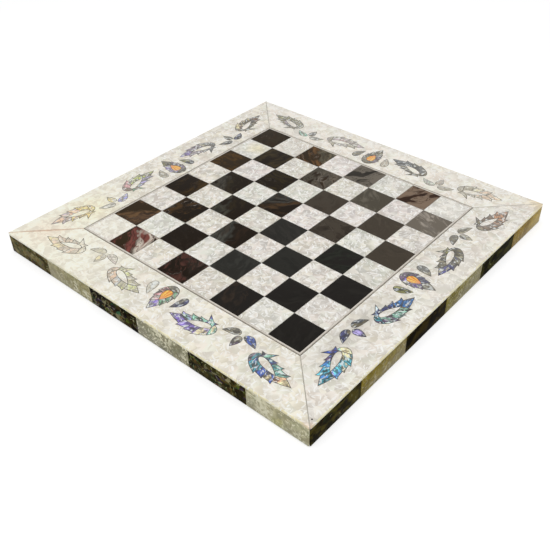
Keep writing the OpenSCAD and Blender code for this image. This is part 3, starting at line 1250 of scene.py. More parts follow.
@dataclass(frozen=True)
class Plywood(Finish):
    """Plywood with its grain along the files and its plies showing at the edges."""

    early: Colour
    late: Colour
    glue: Colour
    _: KW_ONLY
    matt: tuple[float, float] | None = (0.75, 0.62)
    depth: float = 0.1 * MM
    relief: float = 0.3
    ply: float = 2.4 * MM

    def figure(self, wiring: Wiring) -> tuple[Signal, Signal]:
        """Wires the grain and the lines of glue between the plies.

        Args:
            wiring: The material's wiring.

        Returns:
            The colour and the height of the surface.
        """
        place = wiring.place()
        rings = (place.warped(60 * MM, 12 * MM) * (0.04, 1.0, 1.0)).noise(3.5 * MM, 4.0)
        pores = (place * (0.08, 1.0, 1.0)).noise(0.5 * MM)
        grain = (rings + pores * 0.5).ramp(0.6, 0.95)
        layer = wiring.reckon("PINGPONG", place.parts()[2], self.ply)
        glue = layer.ramp(0.12 * self.ply, 0.02 * self.ply) * 0.5
        return wiring.mix(glue, wiring.mix(grain, self.late, self.early), self.glue), grain


def mount(piece: Object, slot: str, material: Material, *nodes: str) -> None:
    """Dresses a finished piece, fastens it to the board and lets it stand for nodes.

    Args:
        piece: The piece, in its place.
        slot: The material slot that it takes its finish from.
        material: Its finish.
        nodes: The nodes that it stands for.
    """
    piece.data.materials.clear()
    piece.data.materials.append(material)
    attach(piece, BODY)
    if nodes:
        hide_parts(*nodes)
    role = ", ".join(nodes) or "nothing"
    log.info("%s: %d faces, stands for %s", piece.name, len(piece.data.polygons), role)


class DarkGroundAndReflection(Enum):
    """Grounds of the dark tiles, from the near corner of the board to the far side. The near-black and brown
    ones are the tiles' own colour; the brown-greys and greys are a painted reflection of the room, which
    lightens the tiles towards the right corner.
    """

    BLACK = (34, 31, 28)
    BLUE_BLACK = (44, 43, 39)
    BROWN_BLACK = (30, 20, 8)
    BROWN = (50, 36, 16)
    BROWN_GREY = (72, 64, 54)
    DARK_GREY = (82, 76, 65)
    GREY = (116, 108, 97)
    TAN_GREY = (134, 114, 96)


@dataclass(frozen=True)
class Marbling:
    """The marbling of one dark tile.

    The figure may gather in a band. Its heading is in degrees from the files' direction, and the band lies
    aside of the tile's middle, to the left of that heading. To the right of the band there may be a cloud, a
    painted reflection of the room, as thick as its share says.
    """

    ground: DarkGroundAndReflection
    figure: Colour
    amount: float
    heading: float | None = None
    aside: float = 0.0
    cloud: Colour = (0, 0, 0)
    haze: float = 0.0


@dataclass
class Field:
    """The sixty-four tiles and the resin in the joints between them."""

    square: float = 31.75 * MM
    joint: float = 0.3 * MM
    squares: int = 8
    tile_round: float = 0.12 * MM
    rim: float = 0.7 * MM
    crown: float = 0.03 * MM
    joint_sink: float = 0.05 * MM
    light_spreads: tuple[float, float] = (0.02, 0.03)
    band_free: float = 3.25 * MM
    seed: int = 64

    LIGHT = (
        ((243, 237, 227), (205, 198, 187)),
        ((240, 237, 226), (202, 199, 187)),
        ((244, 236, 229), (207, 198, 191)),
        ((242, 236, 223), (205, 198, 184)),
    )
    # The grey grounds and lighter figures of the tiles towards the right corner, from e1 to h4, are a
    # painted reflection of the room.
    MARBLED = {
        "a3": Marbling(DarkGroundAndReflection.BLACK, (60, 48, 38), 0.5, 10, 8 * MM),
        "a5": Marbling(DarkGroundAndReflection.BROWN_BLACK, (78, 48, 40), 0.85, 35, 1 * MM, (58, 48, 40), 0.6),
        "a7": Marbling(DarkGroundAndReflection.BROWN, (110, 62, 54), 1.0, 35, 3 * MM, (196, 186, 172), 1.0),
        "b4": Marbling(DarkGroundAndReflection.BLUE_BLACK, (54, 54, 50), 0.5),
        "b6": Marbling(DarkGroundAndReflection.BROWN_BLACK, (42, 33, 25), 0.5),
        "b8": Marbling(DarkGroundAndReflection.BROWN, (104, 78, 52), 0.85, -30, -1 * MM, (76, 58, 46), 0.7),
        "c3": Marbling(DarkGroundAndReflection.BLUE_BLACK, (38, 38, 34), 0.4),
        "c5": Marbling(DarkGroundAndReflection.BROWN_BLACK, (44, 30, 18), 0.6, 195, 4 * MM, (70, 70, 64), 0.95),
        "c7": Marbling(DarkGroundAndReflection.BROWN_BLACK, (66, 46, 22), 1.0, -15, 6 * MM),
        "d2": Marbling(DarkGroundAndReflection.BLACK, (38, 42, 34), 0.6),
        "d4": Marbling(DarkGroundAndReflection.BLUE_BLACK, (52, 49, 45), 0.4),
        "d6": Marbling(DarkGroundAndReflection.BROWN_BLACK, (44, 34, 14), 0.6, 205, -1 * MM, (66, 65, 56), 0.85),
        "d8": Marbling(DarkGroundAndReflection.BROWN_BLACK, (64, 46, 16), 0.7),
        "e1": Marbling(DarkGroundAndReflection.BROWN_GREY, (70, 62, 52), 0.3),
        "e3": Marbling(DarkGroundAndReflection.BROWN_GREY, (48, 40, 32), 0.75),
        "e5": Marbling(DarkGroundAndReflection.BROWN_BLACK, (70, 51, 30), 0.85, 135, 2 * MM, (62, 62, 58), 0.95),
        "e7": Marbling(DarkGroundAndReflection.BROWN_BLACK, (50, 42, 26), 0.7, 215, 0.0, (68, 65, 58), 0.85),
        "f2": Marbling(DarkGroundAndReflection.BROWN_GREY, (76, 68, 58), 0.4),
        "f4": Marbling(DarkGroundAndReflection.BROWN_GREY, (58, 48, 38), 0.4),
        "f6": Marbling(DarkGroundAndReflection.BROWN_BLACK, (50, 40, 14), 0.7),
        "f8": Marbling(DarkGroundAndReflection.BROWN, (90, 62, 18), 0.5),
        "g1": Marbling(DarkGroundAndReflection.GREY, (158, 149, 138), 0.7, 60, 0.0),
        "g3": Marbling(DarkGroundAndReflection.DARK_GREY, (108, 102, 90), 0.5, 40, 4 * MM),
        "g5": Marbling(DarkGroundAndReflection.DARK_GREY, (42, 28, 12), 0.95, 20, 6 * MM, (108, 98, 86), 0.7),
        "g7": Marbling(DarkGroundAndReflection.BROWN_BLACK, (60, 49, 26), 0.7),
        "h2": Marbling(DarkGroundAndReflection.TAN_GREY, (46, 24, 10), 0.95, -30, 2 * MM),
        "h4": Marbling(DarkGroundAndReflection.GREY, (40, 36, 30), 0.9, -40, 6 * MM),
        "h6": Marbling(DarkGroundAndReflection.BROWN, (98, 70, 40), 0.95, 50, 0.0, (108, 102, 84), 0.95),
        "h8": Marbling(DarkGroundAndReflection.BROWN, (44, 36, 20), 0.7),
    }
    PLAIN = Marbling(DarkGroundAndReflection.BLACK, (40, 38, 34), 0.4)
    STAINS_AND_SHADING = (
        Stain((-111 * MM, 111 * MM, TOP), 36 * MM, (255, 250, 230), 0.7),
        # Lighter near the right corner: painted sheen.
        Stain((111 * MM, -111 * MM, TOP), 26 * MM, (248, 242, 232), 0.7),
        Stain((84 * MM, 107 * MM, TOP), 17 * MM, (240, 228, 182), 0.65, drift=5 * MM),
    )

    def build(self) -> None:
        """Models one tile, lays all of them rank by rank and fills their joints."""
        pattern = self._pattern_tile()
        light = PearlSheet("pearl_tile", 6.5 * MM, 0.8, (255, 254, 250), stains_and_shading=self.STAINS_AND_SHADING).material()
        dark = MarbledSheet("dark_tile").material()
        self.rng = random.Random(self.seed)
        for rank in range(1, self.squares + 1):
            for shade, slot, material in (("light", "pearl_tile", light), ("dark", "dark_tile", dark)):
                is_dark = shade == "dark"
                files = [file for file in range(1, self.squares + 1) if ((file + rank) % 2 == 0) == is_dark]
                tiles = [twin(pattern, f"tile_{file}_{rank}", self._middle(file, rank)) for file in files]
                piece = joined(tiles, f"{shade}_tiles_of_rank_{rank}")
                self._cut_tiles(piece, is_dark)
                mount(piece, slot, material, f"{shade}_tiles_rank_{rank}")
        scrapped(pattern)
        self._fill_joints()

    def _pattern_tile(self) -> Object:
        """Models one tile about the board's axis: a slab with rounded edges and a faint crown.

        Returns:
            The tile, at the height where it lies.
        """
        tile = slab(self.square - self.joint, FACING_FLOOR, TOP)
        with editing(tile):
            pick(tile, Pick.FACES, lambda face: faces_up_at(face, TOP))
            bpy.ops.mesh.inset(thickness=self.rim, depth=0)
        with editing(tile):
            pick(tile, Pick.EDGES,
                 lambda edge: is_sharp(edge) and max(vert.co.z for vert in edge.verts) > TOP - HAIR)
            bpy.ops.transform.translate(value=(0, 0, -self.crown))
            bpy.ops.mesh.bevel(offset=self.tile_round, segments=2, affect="EDGES")
        smooth(tile)
        return tile

    def _middle(self, file: int, rank: int) -> Place:
        """The middle of a square on the board."""
        middle = (self.squares + 1) / 2
        return (file - middle) * self.square, (rank - middle) * self.square, 0

    def _cut_tiles(self, tiles: Object, is_dark: bool) -> None:
        """Gives each tile its place on the sheet and its colours.

        Args:
            tiles: The tiles of one colour in one rank.
            is_dark: Whether these are the dark tiles.
        """
        cuttings = Cuttings(tiles)
        for part in cuttings.parts:
            centre = cuttings.centre(part)
            if is_dark:
                file, rank = (math.floor(centre[axis] / self.square + self.squares / 2) for axis in (0, 1))
                look = self.MARBLED.get(f"{'abcdefgh'[file]}{rank + 1}", self.PLAIN)
                lay = self._marbled_lay(look, centre)
                cuttings.cut(part, lay, look.ground.value, look.figure, look.amount)
                # A painted reflection of the room, and how much of it shows.
                cuttings.paint(part, "painted_reflection", look.cloud, look.haze)
            else:
                lay = chance_lay(self.rng, centre)
                colours = zip(self.rng.choice(self.LIGHT), self.light_spreads)
                cuttings.cut(part, lay, *[nudged(colour, self.rng, spread) for colour, spread in colours])

    def _marbled_lay(self, look: Marbling, centre: Vector) -> Point:
        """Takes a dark tile from its sheet, with the distance from its band as the height of a place.

        Args:
            look: The tile's marbling.
            centre: The middle of the tile.

        Returns:
            The way from a point of the board to a place on the sheet.
        """
        if look.heading is None:
            sheet = chance_lay(self.rng, centre)
            return lambda point: sheet(point) + Vector((0, 0, self.band_free))
        heading = math.radians(look.heading)
        sheet = chance_lay(self.rng, centre, heading)
        aside = Vector((-math.sin(heading), math.cos(heading), 0))
        return lambda point: sheet(point) + Vector((0, 0, (point - centre).dot(aside) - look.aside))

    def _fill_joints(self) -> None:
        """Models the lattice of resin in the joints, a little below the tiles' faces."""
        half = self.squares * self.square / 2
        tile_area = (self.square - self.joint) ** 2
        bpy.ops.mesh.primitive_plane_add(size=2 * half, location=(0, 0, 0))
        lattice = bpy.context.object
        lattice.name = "tile_joint_resin"
        lines = [(k - self.squares / 2) * self.square + side * self.joint / 2
                 for k in range(self.squares + 1) for side in (-1, 1)]
        with editing(lattice):
            for normal in (Vector((1, 0, 0)), Vector((0, 1, 0))):
                for line in lines[1:-1]:
                    select_all()
                    bpy.ops.mesh.bisect(plane_co=normal * line, plane_no=normal)
            pick(lattice, Pick.FACES, lambda face: face.calc_area() > 0.9 * tile_area)
            bpy.ops.mesh.delete(type="FACE")
            move_all((0, 0, FACING_FLOOR))
            thicken(TOP - self.joint_sink - FACING_FLOOR)
        mount(lattice, "mitre_line", Resin("joint_resin", (150, 145, 136), (120, 116, 108)).material())


@dataclass
class Lines:
    """The pale bead and the dark line round the field, and the lines along the mitres."""

    edge_round: float = 0.04 * MM

    def build(self) -> None:
        """Models the strips from their nodes, softens their top edges and fastens them."""
        bead = Resin("bead_resin", (228, 221, 209), (216, 208, 196)).material()
        line = Resin("line_resin", (180, 172, 160), (158, 150, 138)).material()
        grey = Resin("mitre_resin", (196, 190, 176), (176, 170, 156)).material()
        tan = Resin("mitre_resin_tan", (214, 180, 148), (194, 158, 128)).material()
        strips = [("field_bead", "strips", "pale_bead", bead)]
        for side in Side:
            strips.append((f"field_line_{side.label}", "strip", "dark_line", line))
            mitre = tan if side is Side.LEFT else grey
            strips.append((f"mitre_line_{side.label}", "strip", "mitre_line", mitre))
        for node, suffix, slot, material in strips:
            mount(eased(node, suffix, self.edge_round, 1, on_top_rim), slot, material, node)


class Hue(Enum):
    """Colours that the shell shows, by name."""

    AQUA = (92, 190, 208)
    AZURE = (58, 130, 200)
    BLUE = (44, 84, 176)
    BROWN = (98, 70, 50)
    COPPER = (164, 114, 78)
    CREAM = (232, 216, 170)
    GOLD = (240, 204, 92)
    GREEN = (78, 138, 104)
    GREY = (134, 128, 108)
    ICE = (188, 212, 234)
    INDIGO = (66, 66, 140)
    LILAC = (160, 148, 204)
    LIME = (184, 198, 84)
    MAUVE = (156, 140, 156)
    MINT = (152, 206, 184)
    NAVY = (42, 46, 92)
    OLIVE = (122, 120, 66)
    PEACH = (226, 172, 134)
    PERIWINKLE = (104, 112, 206)
    PINK = (208, 146, 152)
    PLUM = (84, 62, 96)
    SILVER = (202, 202, 192)
    SLATE = (78, 84, 90)
    SMOKE = (92, 84, 60)
    TEAL = (50, 138, 150)
    VIOLET = (112, 88, 176)


H = Hue
Hues = tuple[Hue, ...]


@dataclass(frozen=True)
class SideHues:
    """The hues of one side's ornament, read from left to right as seen from outside the board.

    A wreath has nine, round the ring: the tip, four leaves on the field's side, the cap and
    three leaves on the outer side. The petals have eight, from left to right. A flower has four:
    its tip, its left leaves, its right leaves and its cap. The washes say how pale the four
    wreaths are, from left to right.
    """

    left_corner: Hues
    left_middle: Hues
    right_middle: Hues
    right_corner: Hues
    petals: Hues
    flower: Hues
    washes: tuple[float, float, float, float]


SHELL_HUES = {
    Side.FRONT: SideHues(
        left_corner=(H.TEAL, H.AZURE, H.AQUA, H.BLUE, H.PLUM, H.MINT, H.CREAM, H.AQUA, H.PERIWINKLE),
        left_middle=(H.AZURE, H.AZURE, H.NAVY, H.NAVY, H.ICE, H.TEAL, H.PLUM, H.MINT, H.SMOKE),
        right_middle=(H.INDIGO, H.GREY, H.SMOKE, H.GREY, H.OLIVE, H.SMOKE, H.SMOKE, H.GREY, H.NAVY),
        right_corner=(H.COPPER, H.COPPER, H.BROWN, H.BROWN, H.SMOKE, H.GREY, H.BROWN, H.BROWN, H.COPPER),
        petals=(H.NAVY, H.LILAC, H.SLATE, H.OLIVE, H.SLATE, H.SMOKE, H.GREY, H.GREY),
        flower=(H.SMOKE, H.VIOLET, H.NAVY, H.PLUM),
        washes=(0.0, 0.0, 0.05, 0.15),
    ),
    Side.RIGHT: SideHues(
        left_corner=(H.SILVER, H.PEACH, H.GREY, H.MAUVE, H.GREY, H.SMOKE, H.SMOKE, H.CREAM, H.PEACH),
        left_middle=(H.SLATE, H.SLATE, H.GREY, H.SMOKE, H.GREY, H.SMOKE, H.SMOKE, H.SLATE, H.SLATE),
        right_middle=(H.GREY, H.GREY, H.MAUVE, H.SILVER, H.GREY, H.SMOKE, H.MAUVE, H.PINK, H.MAUVE),
        right_corner=(H.OLIVE, H.SMOKE, H.MAUVE, H.SLATE, H.SMOKE, H.GREY, H.GREY, H.OLIVE, H.SMOKE),
        petals=(H.SMOKE, H.BROWN, H.MINT, H.BROWN, H.SMOKE, H.SMOKE, H.SMOKE, H.MINT),
        flower=(H.SMOKE, H.PLUM, H.GREY, H.SMOKE),
        washes=(0.5, 0.1, 0.35, 0.15),
    ),
    Side.BACK: SideHues(
        left_corner=(H.BROWN, H.SMOKE, H.SMOKE, H.OLIVE, H.GREY, H.BROWN, H.CREAM, H.CREAM, H.SMOKE),
        left_middle=(H.VIOLET, H.MAUVE, H.MAUVE, H.GREY, H.SLATE, H.SLATE, H.GREY, H.MAUVE, H.PLUM),
        right_middle=(H.GREY, H.SLATE, H.LILAC, H.GREEN, H.GREEN, H.BROWN, H.PINK, H.SILVER, H.LIME),
        right_corner=(H.MAUVE, H.PEACH, H.GOLD, H.GOLD, H.GOLD, H.GOLD, H.GOLD, H.PEACH, H.PEACH),
        petals=(H.SMOKE, H.SMOKE, H.SMOKE, H.OLIVE, H.SMOKE, H.PERIWINKLE, H.GOLD, H.SILVER),
        flower=(H.OLIVE, H.PLUM, H.LILAC, H.SMOKE),
        washes=(0.05, 0.15, 0.2, 0.35),
    ),
    Side.LEFT: SideHues(
        left_corner=(H.GOLD, H.PEACH, H.COPPER, H.GREY, H.CREAM, H.SILVER, H.PEACH, H.COPPER, H.GOLD),
        left_middle=(H.LIME, H.OLIVE, H.GREY, H.CREAM, H.LIME, H.PEACH, H.COPPER, H.ICE, H.OLIVE),
        right_middle=(H.LILAC, H.GREEN, H.MINT, H.TEAL, H.INDIGO, H.MINT, H.CREAM, H.LILAC, H.VIOLET),
        right_corner=(H.PEACH, H.MINT, H.TEAL, H.INDIGO, H.MINT, H.MAUVE, H.TEAL, H.BLUE, H.CREAM),
        petals=(H.OLIVE, H.GOLD, H.MAUVE, H.ICE, H.GREY, H.GREY, H.PLUM, H.BLUE),
        flower=(H.VIOLET, H.PINK, H.GREEN, H.SMOKE),
        washes=(0.64, 0.5, 0.05, 0.05),
    ),
}


class ShellFinishes:
    """The finishes of the ornament, built once for all four sides."""

    def __init__(self) -> None:
        """Builds the materials."""
        self.leaf = ShellPlate("shell_leaf", 0.95, 0.5).material()
        self.petal = ShellPlate("shell_petal", 0.7, 0.5).material()
        self.flower = ShellPlate("shell_flower", 0.7, 0.6).material()
        self.amber = Amber("amber_centre", (255, 214, 92), (228, 116, 12), (240, 154, 118)).material()
        self.cement = Resin("inlay_cement", (92, 86, 80), (68, 62, 56), gloss=0.4).material()


@dataclass
class Ornament:
    """One side's shell ornament and the dark cement that holds it."""

    side: Side
    finishes: ShellFinishes
    rim: float = 0.18 * MM
    cement_sink: float = 0.06 * MM
    rib_sink: float = 0.1 * MM
    cutter_stretch: float = 1.5
    hue_spread: float = 0.1
    flower_wash: float = 0.1
    seed: int = 9

    NODES = ("corner_wreaths", "middle_wreaths", "petals", "flower", "flower_centre")
    COMPANIONS = (H.GREY, H.SMOKE, H.SILVER, H.NAVY, H.SLATE)

    def build(self, panel: Object) -> None:
        """Fills the panel's pockets and models the wreaths, petals and flower of this side.

        Args:
            panel: The border panel, whose pockets are open.
        """
        self._cement(panel)
        self.rng = random.Random(self.seed + self.side.value)
        hues = SHELL_HUES[self.side]
        washes = hues.washes
        self._wreaths("corner_wreaths", (hues.left_corner, washes[0]), (hues.right_corner, washes[3]))
        self._wreaths("middle_wreaths", (hues.left_middle, washes[1]), (hues.right_middle, washes[2]))
        self._petals(hues.petals, (washes[0], washes[3]))
        self._flower(*hues.flower)
        self._centre()

    def _node(self, name: str) -> str:
        """The full name of one of this side's nodes."""
        return f"{name}_{self.side.label}"

    def _cement(self, panel: Object) -> None:
        """Fills the panel's pockets round the shell with dark cement.

        Args:
            panel: The border panel, whose pockets are open.
        """
        bed = twin(panel, self._node("inlay_cement"))
        with editing(bed):
            pick(bed, Pick.FACES, lambda face: not faces_up_at(face, POCKET_FLOOR))
            bpy.ops.mesh.delete(type="FACE")
            thicken(TOP - self.cement_sink - POCKET_FLOOR)
        shells = joined([copy_of(self._node(name), "cutter") for name in self.NODES], "shell_cutter")
        middle = (0, 0, (TOP + POCKET_FLOOR) / 2)
        with editing(shells):
            select_all()
            bpy.ops.transform.resize(value=(1, 1, self.cutter_stretch), center_override=middle)
        cut_away(bed, shells)
        mount(bed, "dark_line", self.finishes.cement)

    def _shell(self, node: str) -> tuple[Object, Cuttings]:
        """Models the shell pieces of a node, each with a ground-down rim.

        Args:
            node: The node's name without its side.

        Returns:
            The pieces, as one mesh, and their separate parts.
        """
        piece = eased(self._node(node), "shell", self.rim, 2, on_top_rim)
        paint_filler_and_shading(piece, lambda point: point.z < TOP - HAIR)
        return piece, Cuttings(piece)

    def _wreaths(self, node: str, *pair: tuple[Hues, float]) -> None:
        """Models a pair of leaf wreaths and gives each leaf its hue.

        Args:
            node: The pair's node without its side.
            pair: The hues and the wash of the left wreath and of the right one.
        """
        piece, cuttings = self._shell(node)
        tip_outward = node == "corner_wreaths"
        for sign, (hues, wash) in zip((-1, 1), pair):
            for number, part in enumerate(self._ring_order(cuttings, sign, tip_outward)):
                companion = hues[(number + self.rng.choice((-1, 1))) % len(hues)]
                self._cut_leaf(cuttings, part, (hues[number], companion), wash)
        mount(piece, "shell_leaf", self.finishes.leaf, self._node(node))

    def _ring_order(self, cuttings: Cuttings, sign: int, tip_outward: bool) -> list[list[int]]:
        """Puts the leaves of one wreath in the order of its ring.

        Args:
            cuttings: The leaves of both wreaths.
            sign: Minus one for the left wreath, one for the right one.
            tip_outward: Whether the tip points away from the middle of the side.

        Returns:
            The leaves from the tip, along the field's side, round the cap and back.
        """
        places = []
        for part in cuttings.parts:
            centre = self.side.as_front(cuttings.centre(part))
            if centre.x * sign > 0:
                along = -abs(centre.x) if tip_outward else abs(centre.x)
                places.append((along, centre.y, part))
        places.sort(key=lambda place: place[0])
        tip, cap = places[0], places[-1]
        slope = (cap[1] - tip[1]) / (cap[0] - tip[0])
        between = places[1:-1]
        field = [place for place in between if place[1] > tip[1] + slope * (place[0] - tip[0])]
        outer = [place for place in between if place not in field]
        return [place[2] for place in (tip, *field, cap, *reversed(outer))]

    def _cut_leaf(self, cuttings: Cuttings, part: Sequence[int], hues: Hues, wash: float) -> None:
        """Cuts one leaf or petal.

        Args:
            cuttings: The leaves that it is one of.
            part: Its vertex numbers.
            hues: Its two hues.
            wash: How pale it is.
        """
        lay = chance_lay(self.rng, cuttings.centre(part), cuttings.heading(part))
        first, second = (nudged(hue.value, self.rng, self.hue_spread) for hue in hues)
        cuttings.cut(part, lay, first, second, wash)

    def _petals(self, hues: Hues, washes: tuple[float, float]) -> None:
        """Models the eight petals of this side.

        Args:
            hues: The petals' hues from left to right.
            washes: How pale the left and the right half of the side are.
        """
        piece, cuttings = self._shell("petals")
        parts = sorted(cuttings.parts, key=lambda part: self.side.as_front(cuttings.centre(part)).x)
        for number, (part, hue) in enumerate(zip(parts, hues)):
            wash = washes[number * 2 // len(parts)]
            self._cut_leaf(cuttings, part, (hue, self.rng.choice(self.COMPANIONS)), wash)
        mount(piece, "shell_petal", self.finishes.petal, self._node("petals"))

    def _flower(self, tip_hue: Hue, left_hue: Hue, right_hue: Hue, cap_hue: Hue) -> None:
        """Models the ring of leaves round the flower's centre.

        Args:
            tip_hue: The hue of the tip.
            left_hue: The hue of the leaves on the left.
            right_hue: The hue of the leaves on the right.
            cap_hue: The hue of the cap.
        """
        piece, cuttings = self._shell("flower")
        spots = [(self.side.as_front(cuttings.centre(part)), part) for part in cuttings.parts]
        spots.sort(key=lambda spot: spot[0].y)
        for number, (centre, part) in enumerate(spots):
            hue = left_hue if centre.x < 0 else right_hue
            hue = tip_hue if number == 0 else cap_hue if number == len(spots) - 1 else hue
            companion = self.rng.choice((hue, cap_hue, H.GREY, H.SILVER))
            self._cut_leaf(cuttings, part, (hue, companion), self.flower_wash)
        mount(piece, "shell_flower", self.finishes.flower, self._node("flower"))

    def _centre(self) -> None:
        """Models the flower's centre: a rim, and inside it ribs that fan out from the middle."""
        piece = copy_of(self._node("flower_centre"), "shell")
        soften(piece, self.rim, 1, on_top_rim)
        middle = Cuttings.middle([vertex.co for vertex in piece.data.vertices])
        with editing(piece):
            pick(piece, Pick.FACES, lambda face: faces_up_at(face, TOP))
            bpy.ops.mesh.inset(thickness=self.rim, depth=0)
            inner = [vert for vert in bmesh.from_edit_mesh(piece.data).verts if vert.select]
            inner.sort(key=lambda vert: math.atan2(vert.co.y - middle.y, vert.co.x - middle.x))
            furrows = {vert.index for vert in inner[::2]}
            bpy.ops.mesh.poke(offset=0, center_mode="MEDIAN")
            pick(piece, Pick.VERTS, lambda vert: vert.index in furrows)
            bpy.ops.transform.translate(value=(0, 0, -self.rib_sink))
        smooth(piece)
        tip = min((self.side.as_front(vertex.co) for vertex in piece.data.vertices), key=lambda spot: spot.y)
        cuttings = Cuttings(piece)
        for part in cuttings.parts:
            cuttings.lay_out(part, lambda point: flat(self.side.as_front(point) - tip))
        mount(piece, "amber_centre", self.finishes.amber, self._node("flower_centre"))


@dataclass
class Border:
    """The four mitred border panels, with their pockets and bevelled top edge."""

    arris: float = 1.2 * MM
    bevel_zone: float = 1 * MM
    arris_round: float = 0.15 * MM
    pocket_round: float = 0.14 * MM
    pin_place: tuple[float, float] = (-170.8 * MM, -173.9 * MM)
    pin_radius: float = 0.6 * MM
    pin_depth: float = 1.7 * MM
    pin_round: float = 0.1 * MM
    pin_facets: int = 16
    inlay_from: float = 130 * MM
    inlay_from_edge: float = 3 * MM
    mitre_reach: float = 1.5 * MM
    sheet_step: tuple[float, float] = (0.7, 0.3)

    TONES = {
        Side.FRONT: ((248, 243, 232), (216, 209, 196)),
        # The right panel is written lighter than the others as painted sheen.
        Side.RIGHT: ((254, 249, 236), (229, 221, 206)),
        Side.BACK: ((250, 244, 229), (217, 209, 193)),
        Side.LEFT: ((252, 247, 233), (224, 217, 201)),
    }
    # The rounded outer edge's pale cream: partly the edge's own yellowing, partly a painted highlight.
    ARRIS_TONES = ((255, 247, 208), (238, 229, 184))
    STAINS_AND_SHADING = (
        # Darker along the inner strip of the front panel, towards the left: painted shade.
        Stain((-80 * MM, -142 * MM, TOP), 84 * MM, (212, 207, 196), 0.7, narrow=0.2),
        # Lighter along the outer strip of the front panel: painted sheen.
        Stain((25 * MM, -169 * MM, TOP), 90 * MM, (248, 242, 231), 0.6, narrow=0.13),
        Stain((141 * MM, 106 * MM, TOP), 30 * MM, (224, 218, 206), 0.6),
        Stain((-BOARD_HALF, BOARD_HALF, TOP), 190 * MM, (255, 249, 227), 0.95),
        Stain((-104 * MM, 151 * MM, TOP), 34 * MM, (255, 243, 200), 0.55),
        Stain((-153 * MM, 153 * MM, TOP), 32 * MM, (251, 232, 208), 0.6),
        Stain((-153 * MM, 153 * MM, TOP), 38 * MM, (214, 176, 146), 0.75, math.radians(135), 0.06, 2 * MM),
        Stain((-BOARD_HALF, -BOARD_HALF, TOP), 9 * MM, (240, 206, 172), 0.6),
        Stain((BOARD_HALF, -BOARD_HALF, TOP), 22 * MM, (242, 218, 168), 0.7),
    )

    def build(self) -> dict[Side, Object]:
        """Models the panels.

        Returns:
            The panel of each side.
        """
        material = PearlSheet("pearl_border", 7.0 * MM, 0.75, (255, 254, 249), stains_and_shading=self.STAINS_AND_SHADING).material()
        panels = {}
        for side in Side:
            panels[side] = self._panel(side)
            self._cut_panel(side, panels[side])
            mount(panels[side], "pearl_border", material, f"border_panel_{side.label}")
        return panels

    def _panel(self, side: Side) -> Object:
        """Models one panel with its bevel eased, and with a pin hole if it is the front one.

        Args:
            side: The panel's side.

        Returns:
            The panel.
        """
        panel = copy_of(f"border_panel_{side.label}", "sheet")

        def on_bevel(edge: bmesh.types.BMEdge) -> bool:
            """Says whether an edge runs along the bevel of the outer top edge.

            Args:
                edge: An edge of the panel.

            Returns:
                Whether it does.
            """
            mid = side.as_front((edge.verts[0].co + edge.verts[1].co) / 2)
            near = mid.y < -BOARD_HALF + self.bevel_zone and mid.z > TOP - self.bevel_zone
            return near and is_bevel_edge(edge)

        def on_pocket_rim(edge: bmesh.types.BMEdge) -> bool:
            """Says whether an edge is the rim of a pocket, and not of the whole panel.

            Args:
                edge: An edge of the panel.

            Returns:
                Whether it is.
            """
            ends = [side.as_front(vert.co) for vert in edge.verts]
            inside = all(self._among_inlay(abs(end.y)) for end in ends)
            on_mitre = all(abs(abs(end.x) - abs(end.y)) < self.mitre_reach for end in ends)
            return inside and on_top_rim(edge) and not on_mitre

        if side is Side.FRONT:
            self._drill(panel)
        soften(panel, self.arris_round, 2, on_bevel)
        soften(panel, self.pocket_round, 1, on_pocket_rim)
        smooth(panel)
        return panel

    def _drill(self, panel: Object) -> None:
        """Drills the pin hole and eases its rim.

        Args:
            panel: The front panel.
        """
        bpy.ops.mesh.primitive_cylinder_add(
            vertices=self.pin_facets, radius=self.pin_radius, depth=2 * self.pin_depth, location=(0, 0, 0))
        drill = bpy.context.object
        with editing(drill):
            move_all((*self.pin_place, TOP))
        cut_away(panel, drill)
        soften(panel, self.pin_round, 1, lambda edge: on_top_rim(edge) and self._at_pin(edge.verts[0].co))

    def _at_pin(self, point: Vector) -> bool:
        """Says whether a point is on the wall of the pin hole."""
        return (flat(point) - Vector((*self.pin_place, 0))).length < self.pin_radius + HAIR

    def _among_inlay(self, inward: float) -> bool:
        """Says whether a distance from the board's middle line is that of the ornament."""
        return self.inlay_from < inward < BOARD_HALF - self.inlay_from_edge

    def _cut_panel(self, side: Side, panel: Object) -> None:
        """Lays the sheet's pattern along the side and over its outer edge.

        Args:
            side: The panel's side.
            panel: The finished panel.
        """
        # The pocket rims take the dark filler; the pin hole's wall is painted dark as painted shade.
        paint_filler_and_shading(panel, lambda point: self._in_pocket(side.as_front(point)) or self._at_pin(point))
        cuttings = Cuttings(panel)
        shift = Vector((*self.sheet_step, 0)) * side.value

        def lay(point: Vector) -> Vector:
            """Unfolds a point of the panel onto the sheet."""
            local = side.as_front(point)
            return Vector((local.x, local.y - (TOP - local.z), 0)) + shift

        for part in cuttings.parts:
            cuttings.cut(part, lay, *self.TONES[side])
            places = {index: side.as_front(panel.data.vertices[index].co) for index in part}
            # The outer edge takes its pale cream, partly yellowing and partly a painted highlight.
            arris = [index for index, place in places.items() if self._on_arris(place)]
            for name, tone in zip(("first", "second"), self.ARRIS_TONES):
                cuttings.paint(arris, name, tone)

    def _on_arris(self, local: Vector) -> bool:
        """Says whether a point lies below the top face on the panel's outer edge."""
        return -local.y > BOARD_HALF - self.arris and local.z < TOP - HAIR

    def _in_pocket(self, local: Vector) -> bool:
        """Says whether a point lies on the eased rim or the wall of a pocket."""
        clear_of_mitre = -local.y - abs(local.x) > self.mitre_reach
        return self._among_inlay(-local.y) and clear_of_mitre and POCKET_FLOOR - HAIR < local.z < TOP - HAIR


def is_bevel_edge(edge: bmesh.types.BMEdge) -> bool:
    """Says whether two faces meet at an edge at about half a right angle."""
    return edge.is_manifold and math.radians(30) < edge.calc_face_angle(0) < math.radians(60)


